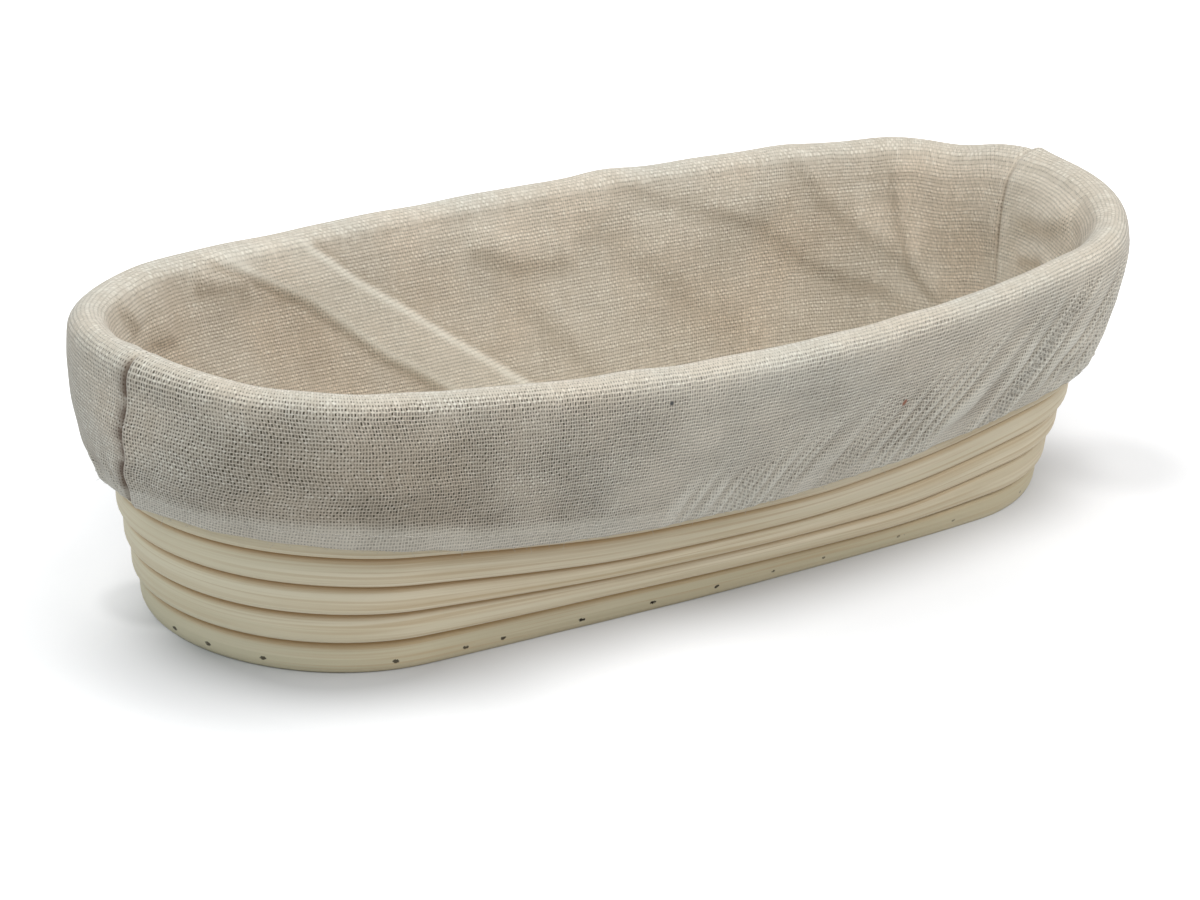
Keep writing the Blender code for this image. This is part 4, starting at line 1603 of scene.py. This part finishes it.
    def cloth_marks(self, panel: Panel, gathers: Grid, hollows: Grid) -> dict[str, Grid]:
        """Work out what the linen reads at each point.

        Args:
            panel: The panel's grid.
            gathers: Strength of the gathers at each point.
            hollows: Strength of the hollows between them.

        Returns:
            By name: where the cloth is doubled, where it is pale from haze and painted light, the seam line
                with painted shadow beside it, where it is inside, fuzzy, painted with shade, and how open it
                is.
        """
        across, down, mark = panel.across, panel.down, self.marks
        front = panel.side is Side.FRONT
        share = across / self.run
        edge = np.minimum(across, self.run - across)
        outside = smooth_step(0.0, -0.006, down)
        inside = smooth_step(0.003, 0.009, down)
        # Pale on the gathers' ridges, both their haze and painted light, and painted light along the rim's
        # crown
        stretched = mark.haze_and_light_on_gathers * gathers + mark.painted_light_rim * bell(down, 0.007)
        # Painted shade in the hollows beside the folds' steep flanks, between the gathers and under the rim
        # at the right end
        browned = sum(fold.painted_shadow * fold.shade(across, down) for fold in FOLDS[panel.side])
        browned = browned + mark.painted_shade_hollows * hollows
        browned = browned + mark.painted_shade_rim * bell(down, 0.013) * smooth_step(0.62, 0.9, share)
        if front:
            loose = softened(share, self.loose_shares, self.loose_values)
            # Painted shade on the front cuff's left part
            cuff_shade_patch = bell(across - 0.072, 0.036) * smooth_step(-0.008, -0.025, down)
            browned = browned + mark.brown_cuff * outside * cuff_shade_patch
            # Painted light on the right end inside and along the cuff
            stretched = stretched + mark.painted_light_end * inside * smooth_step(0.86, 0.94, share)
            stretched = stretched + mark.pale_cuff * outside * smooth_step(0.24, 0.50, share)
            stretched = stretched + mark.pale_cuff_middle * outside * bell(share - 0.42, 0.09)
        else:
            loose = mark.open_rear
            # Painted shade just outside the tuck's edges
            browned = browned + mark.painted_shade_crease * TUCK.creases(across, down, -1.5 * TUCK.edge)
            stretched = stretched + mark.pale_tuck * TUCK.relief(across, down) / TUCK.height
            # Painted highlight along the tuck's pressed edges, and painted light in the middle inside
            stretched = stretched + mark.painted_highlight_crease * TUCK.creases(across, down, TUCK.edge)
            stretched = stretched + mark.painted_light_inside * inside * bell(share - 0.58, 0.16)
        fuzz = (
            mark.fuzzy_rim * bell(down, 0.012),
            mark.fuzzy_seam * outside * bell(edge, 0.03),
            mark.fuzzy_end * smooth_step(0.80, 0.90, share) * smooth_step(-0.012, -0.002, down),
        )
        gaps = np.clip(outside * loose + mark.open_hollows * hollows + mark.open_inside * inside, 0.0, 1.25)
        uneven = np.clip(0.88 + 0.18 * ripples(Seed.WEAVE, across, down, 0.012, 0.06), 0.5, 1.05)
        picked = 0.95 + 0.35 * ripples(Seed.SEAM, np.zeros_like(across), down, 0.004, 0.012)
        # The seam's dark line, wider outside on the rear panel, where shadow beside the front panel's lip is
        # painted
        width = mark.seam_line + (mark.front_seam if front else mark.rear_seam) * outside
        return {
            "doubled": mark.doubled_hem * smooth_step(0.0115, 0.0060, panel.above_hem) * (down < 0),
            "stretched": stretched,
            "seam": bell(edge, width) * (0.3 + 0.7 * outside) * np.clip(picked, 0.45, 1.0),
            "inside": inside,
            "fuzzy": np.maximum.reduce(fuzz),
            "browned": np.clip(browned, 0.0, 0.8),
            "open": gaps * uneven,
        }

    def build_panel(
        self, panel: Panel, shape: Grid, marks: dict[str, Grid], finish: bpy.types.Material
    ) -> bpy.types.Object:
        """Make one panel of cloth.

        Args:
            panel: Its grid.
            shape: Its places with all relief.
            marks: What the linen reads at each point, by name.
            finish: The linen.

        Returns:
            The panel, with the cloth's thickness.
        """
        word = panel.side.name.lower()
        uv = np.stack([panel.across, 1.0 - panel.down], axis=-1)
        flip = panel.side is Side.FRONT
        obj = surface(f"liner_{word}_cloth", shape, uv, "weave", flip=flip, attributes=marks)
        layer = obj.modifiers.new("thickness", "SOLIDIFY")
        layer.thickness = self.shell.cloth
        layer.offset = 0.0
        dress(obj, "liner", Slot.LINEN, finish, f"liner_{word}", f"cuff_{word}")
        return obj

    def at_runs(self, runs: Grid, values: Grid) -> Grid:
        """Return what each column has of three coordinates, read between columns at lengths along the rim."""
        return np.stack([np.interp(runs, self.across, values[:, axis]) for axis in range(3)], axis=-1)

    def cuff_line(self, panel: Panel, shape: Grid, height: float) -> tuple[Grid, Grid]:
        """Return places and normals along the cuff at a height over the hem's lower edge."""
        first = self.crown_row
        rows = panel.above_hem[first : self.hem_row + 1]
        above = (rows >= height).sum(axis=0) - 1
        column = np.arange(self.columns)
        high, low = rows[above, column], rows[above + 1, column]
        share = ((high - height) / (high - low))[:, None]
        start, end = shape[first + above, column], shape[first + above + 1, column]
        return start + (end - start) * share, panel.normal[first + above, column]

    def stitch_paths(self, panel: Panel, shape: Grid) -> tuple[Grid, Grid]:
        """Return the way of each hem stitch, which dips into the cloth at both ends, and its normal."""
        line, normal = self.cuff_line(panel, shape, self.stitch_height)
        draw = np.random.default_rng(Seed.STITCHES)
        starts = np.arange(0.004, self.run - 0.008, self.stitch_pitch)
        starts = starts + draw.uniform(-self.stitch_jitter, self.stitch_jitter, len(starts))
        station = np.linspace(0, 1, 7)
        spots = starts[:, None] + self.stitch_length * station
        up = self.at_runs(spots, normal)
        rise = self.shell.cloth / 2 + self.stitch_rise - self.stitch_dip * np.abs(2 * station - 1) ** 3
        return self.at_runs(spots, line) + up * rise[None, :, None], up[:, 3]

    def lint_paths(self, panel: Panel, shape: Grid) -> tuple[Grid, Grid]:
        """Return the way of each loose fibre along the hem, bent at random, and a direction across it."""
        draw = np.random.default_rng(Seed[f"{panel.side.name}_LINT"])
        line = shape[self.hem_row]
        spots = draw.uniform(self.lint_margin, self.run - self.lint_margin, self.lint_count)
        root = self.at_runs(spots, line)
        along = self.at_runs(spots, np.gradient(line, axis=0))
        along /= np.linalg.norm(along, axis=1, keepdims=True)
        out = np.cross(along, (0.0, 0.0, 1.0)) * panel.side.value
        heading = along * draw.normal(0, 1.0, (len(spots), 1)) + out * draw.uniform(0.1, 0.7, (len(spots), 1))
        heading[:, 2] += draw.normal(-0.1, 0.45, len(spots))
        heading /= np.linalg.norm(heading, axis=1, keepdims=True)
        bend = draw.normal(0, 1, (len(spots), 3))
        reach = draw.uniform(*self.lint_reach, len(spots))[:, None, None]
        station = np.linspace(0, 1, 5)[None, :, None]
        way = root[:, None] + reach * (heading[:, None] * station + 0.35 * bend[:, None] * station**2)
        return way, np.cross(heading, (0.0, 0.0, 1.0)) + (0.0, 0.0, 0.01)

    def build_elastic(self, finish: bpy.types.Material) -> bpy.types.Object:
        """Make the elastic as a closed band that lies in the hem."""
        front, rear = (self.arcs(side, self.left_drift[1], self.right_drift[1]) for side in Side)
        arc = np.concatenate([front[1:-1], rear[-2:0:-1] + 4])
        edge = np.concatenate([self.hem_edge(Side.FRONT)[1:-1], self.hem_edge(Side.REAR)[-2:0:-1]])
        _, _, end_share = self.shell.outline(np.zeros_like(arc), arc)
        height = np.linspace(*self.band_edges, self.band_rows)[:, None] + edge
        level = (height - self.shell.first_height) / self.shell.rise(end_share)
        middle = self.shell.cover + self.hem_gap / 2
        outer = self.shell.place(level, arc, middle + self.band_half)
        inner = self.shell.place(level[::-1], arc, middle - self.band_half)
        ring = np.concatenate([outer, inner]).transpose(1, 0, 2)
        ring = np.concatenate([ring, ring[:1]])
        along = run_lengths(ring.mean(axis=1, keepdims=True), 0)
        around = np.linspace(0, self.band_girth, ring.shape[1] + 1)
        uv = np.stack(np.broadcast_arrays(along, around[None]), axis=-1)
        obj = surface("hem_band", ring, uv, "weave", closed=True)
        return dress(obj, "liner", Slot.ELASTIC, finish, "hem_elastic")

    def build(self, finishes: Finishes) -> list[bpy.types.Object]:
        """Make both panels, the elastic, the hem's stitches and its loose fibres."""
        pieces, stitches, lint = [], [], []
        for side in Side:
            panel = self.panel(side)
            gathers, hollows = self.gathers(panel)
            shape = panel.points + panel.normal * self.relief(panel, gathers)[..., None]
            marks = self.cloth_marks(panel, gathers, hollows)
            pieces.append(self.build_panel(panel, shape, marks, finishes.linen))
            stitches.append(self.stitch_paths(panel, shape))
            lint.append(self.lint_paths(panel, shape))
        for name, paths, radius, sides in (
            ("hem_stitches", stitches, self.stitch_radius, 8),
            ("hem_lint", lint, self.lint_radius, 3),
        ):
            way, up = (np.concatenate(parts) for parts in zip(*paths))
            obj = tubes(name, way, up, radius, sides)
            pieces.append(dress(obj, "liner", Slot.LINEN, finishes.thread))
        return [*pieces, self.build_elastic(finishes.elastic)]


@dataclass(frozen=True)
class Lamp:
    """A square soft box."""

    name: str
    place: Triple
    size: float
    power: float
    colour: Colour

    def hang(self, aim: Triple) -> bpy.types.Object:
        """Hang the lamp in its place, facing a point."""
        data = bpy.data.lights.new(self.name, "AREA")
        data.size = self.size
        data.energy = self.power
        data.color = self.colour
        lamp = link(self.name, data)
        lamp.location = self.place
        lamp.rotation_euler = (Vector(aim) - Vector(self.place)).to_track_quat("-Z", "Y").to_euler()
        return lamp


@dataclass(frozen=True)
class Studio:
    """Camera, pale floor and soft light."""

    azimuth: float = -39.49
    elevation: float = 22.77
    roll: float = 3.98
    distance: float = 1.2105
    lens: float = 120.0
    sensor: float = 36.0
    focal_pixels: float = 4000.0
    origin_right: float = 10.6
    origin_down: float = 76.5
    floor_reach: float = 6.0
    floor_colour: Colour = (0.565, 0.57, 0.582)
    shadow_turn: float = -0.08
    shadow_middle: Triple = (0.006, -0.006, 0.0)
    shadow_half_length: float = 0.098
    # Place, width and change of the floor's glow at each spot: a negative change paints the shadow darker
    # there, a positive one paints it lighter
    spots: tuple[tuple[Triple, float, float], ...] = (
        ((-0.150, -0.030, 0.0), 0.062, -0.26),
        ((-0.160, 0.060, 0.0), 0.075, 0.14),
        ((-0.148, 0.020, 0.0), 0.020, -0.12),
        ((-0.055, -0.066, 0.0), 0.060, 0.10),
        ((0.176, -0.040, 0.0), 0.034, -0.13),
        ((0.045, -0.095, 0.0), 0.090, -0.09),
    )
    spot_core: float = 0.012
    room_colour: Colour = (0.97, 0.985, 1.0)
    room_strength: float = 0.42
    lamps: tuple[Lamp, ...] = (
        Lamp("soft_box_above", (0.573, -0.818, 1.96), size=2.0, power=35.0, colour=(1.0, 0.985, 0.96)),
        Lamp("soft_box_left", (-1.26, 0.22, 1.53), size=1.4, power=11.5, colour=(0.90, 0.98, 1.0)),
    )
    lamp_aim: Triple = (0.0, 0.0, 0.04)

    def build_camera(self) -> bpy.types.Object:
        """Stand the camera where the photograph was taken, aimed so that the origin falls in its place."""
        turn, height, lean = (math.radians(value) for value in (self.azimuth, self.elevation, self.roll))
        flat = math.cos(height)
        back = Vector((math.sin(turn) * flat, -math.cos(turn) * flat, math.sin(height)))
        right = Vector((math.cos(turn), math.sin(turn), 0.0))
        up = back.cross(right)
        right, up = right * math.cos(lean) + up * math.sin(lean), up * math.cos(lean) - right * math.sin(lean)
        aside, below = self.origin_right / self.focal_pixels, self.origin_down / self.focal_pixels
        ahead = -back - right * aside + up * below
        ahead.normalize()
        right = (right - ahead * right.dot(ahead)).normalized()
        up = right.cross(ahead)
        data = bpy.data.cameras.new("camera")
        data.lens = self.lens
        data.sensor_width = self.sensor
        data.clip_start, data.clip_end = 0.05, 50.0
        camera = link("camera", data)
        axes = Matrix((right, up, -ahead)).transposed().to_4x4()
        camera.matrix_world = Matrix.Translation(back * self.distance) @ axes
        bpy.context.scene.camera = camera
        return camera

    def build_floor(self) -> bpy.types.Object:
        """Lay a pale floor that the camera sees as white, with the object's soft shadow.

        Its glow, seen only by the camera, grows with the distance from a line under the basket, so that the
        shadow fades to white. Round a few spots the glow is lowered to paint the shadow darker, and round
        others raised to paint it lighter.
        """
        mesh = bpy.data.meshes.new("floor")
        far = self.floor_reach
        mesh.from_pydata([(-far, -far, 0), (far, -far, 0), (far, far, 0), (-far, far, 0)], [], [(0, 1, 2, 3)])
        floor = link("floor", mesh)
        made, graph, shader = new_material("pale_floor")
        shader.inputs["Roughness"].default_value = 0.9
        shader.inputs["Specular IOR Level"].default_value = 0.0
        path = graph.add("LightPath")
        seen = graph.math("MAXIMUM", path.outputs["Is Camera Ray"], path.outputs["Is Glossy Ray"])
        seen = graph.math("MAXIMUM", seen, path.outputs["Is Transmission Ray"])
        shader.inputs["Emission Color"].default_value = (1.0, 1.0, 1.0, 1.0)
        shader.inputs["Base Color"].default_value = (*self.floor_colour, 1.0)
        place = graph.add("TexCoord").outputs["Object"]
        away = graph.add("VectorRotate", Vector=place, Angle=self.shadow_turn).outputs[0]
        for operation, value in (
            ("SUBTRACT", self.shadow_middle),
            ("ABSOLUTE", None),
            ("SUBTRACT", (self.shadow_half_length, 0.0, 0.0)),
            ("MAXIMUM", (0.0, 0.0, 0.0)),
        ):
            node = graph.add("VectorMath", {"operation": operation}, Vector=away)
            if value:
                node.inputs[1].default_value = value
            away = node.outputs[0]
        away = graph.add("VectorMath", {"operation": "LENGTH"}, Vector=away).outputs["Value"]
        near = graph.ramp(away, 0.038, 0.086, 0.0, 0.48)
        glow = graph.math("ADD", near, graph.ramp(away, 0.065, 0.32, 0.0, 0.7))
        # Painted shadow round each spot: less glow makes it darker, more glow lighter
        for spot, width, change in self.spots:
            gap = graph.distance(place, spot)
            glow = graph.math("ADD", glow, graph.ramp(gap, self.spot_core, width, change, 0.0))
        glow = graph.math("MAXIMUM", glow, 0.0)
        graph.fill(shader.inputs["Emission Strength"], graph.times(seen, glow))
        mesh.materials.append(made)
        return floor

    def build_world(self) -> None:
        """Light the room evenly, and show white behind the floor."""
        world = bpy.data.worlds.new("room")
        bpy.context.scene.world = world
        world.use_nodes = True
        graph = Graph(world.node_tree)
        background = world.node_tree.nodes["Background"]
        background.inputs["Color"].default_value = (*self.room_colour, 1.0)
        path = graph.add("LightPath")
        strength = graph.add("Mix", {"data_type": "FLOAT"}, Factor=path.outputs["Is Camera Ray"])
        strength.inputs[2].default_value = self.room_strength
        strength.inputs[3].default_value = 1.0
        graph.fill(background.inputs["Strength"], strength.outputs[0])

    def build(self) -> None:
        """Set up the camera, floor, world and lamps."""
        self.build_camera()
        self.build_floor()
        self.build_world()
        for lamp in self.lamps:
            lamp.hang(self.lamp_aim)
        bpy.context.scene.view_settings.view_transform = "Standard"


def main() -> None:
    """Build every piece in order, then the room."""
    logging.basicConfig(level=logging.INFO, format="%(message)s")
    finishes = Finishes()
    shell = Shell()
    staples = Staples(shell)
    Basket(shell, staples).build(finishes)
    Liner(shell).build(finishes)
    Studio().build()


if __name__ == "__main__":
    main()
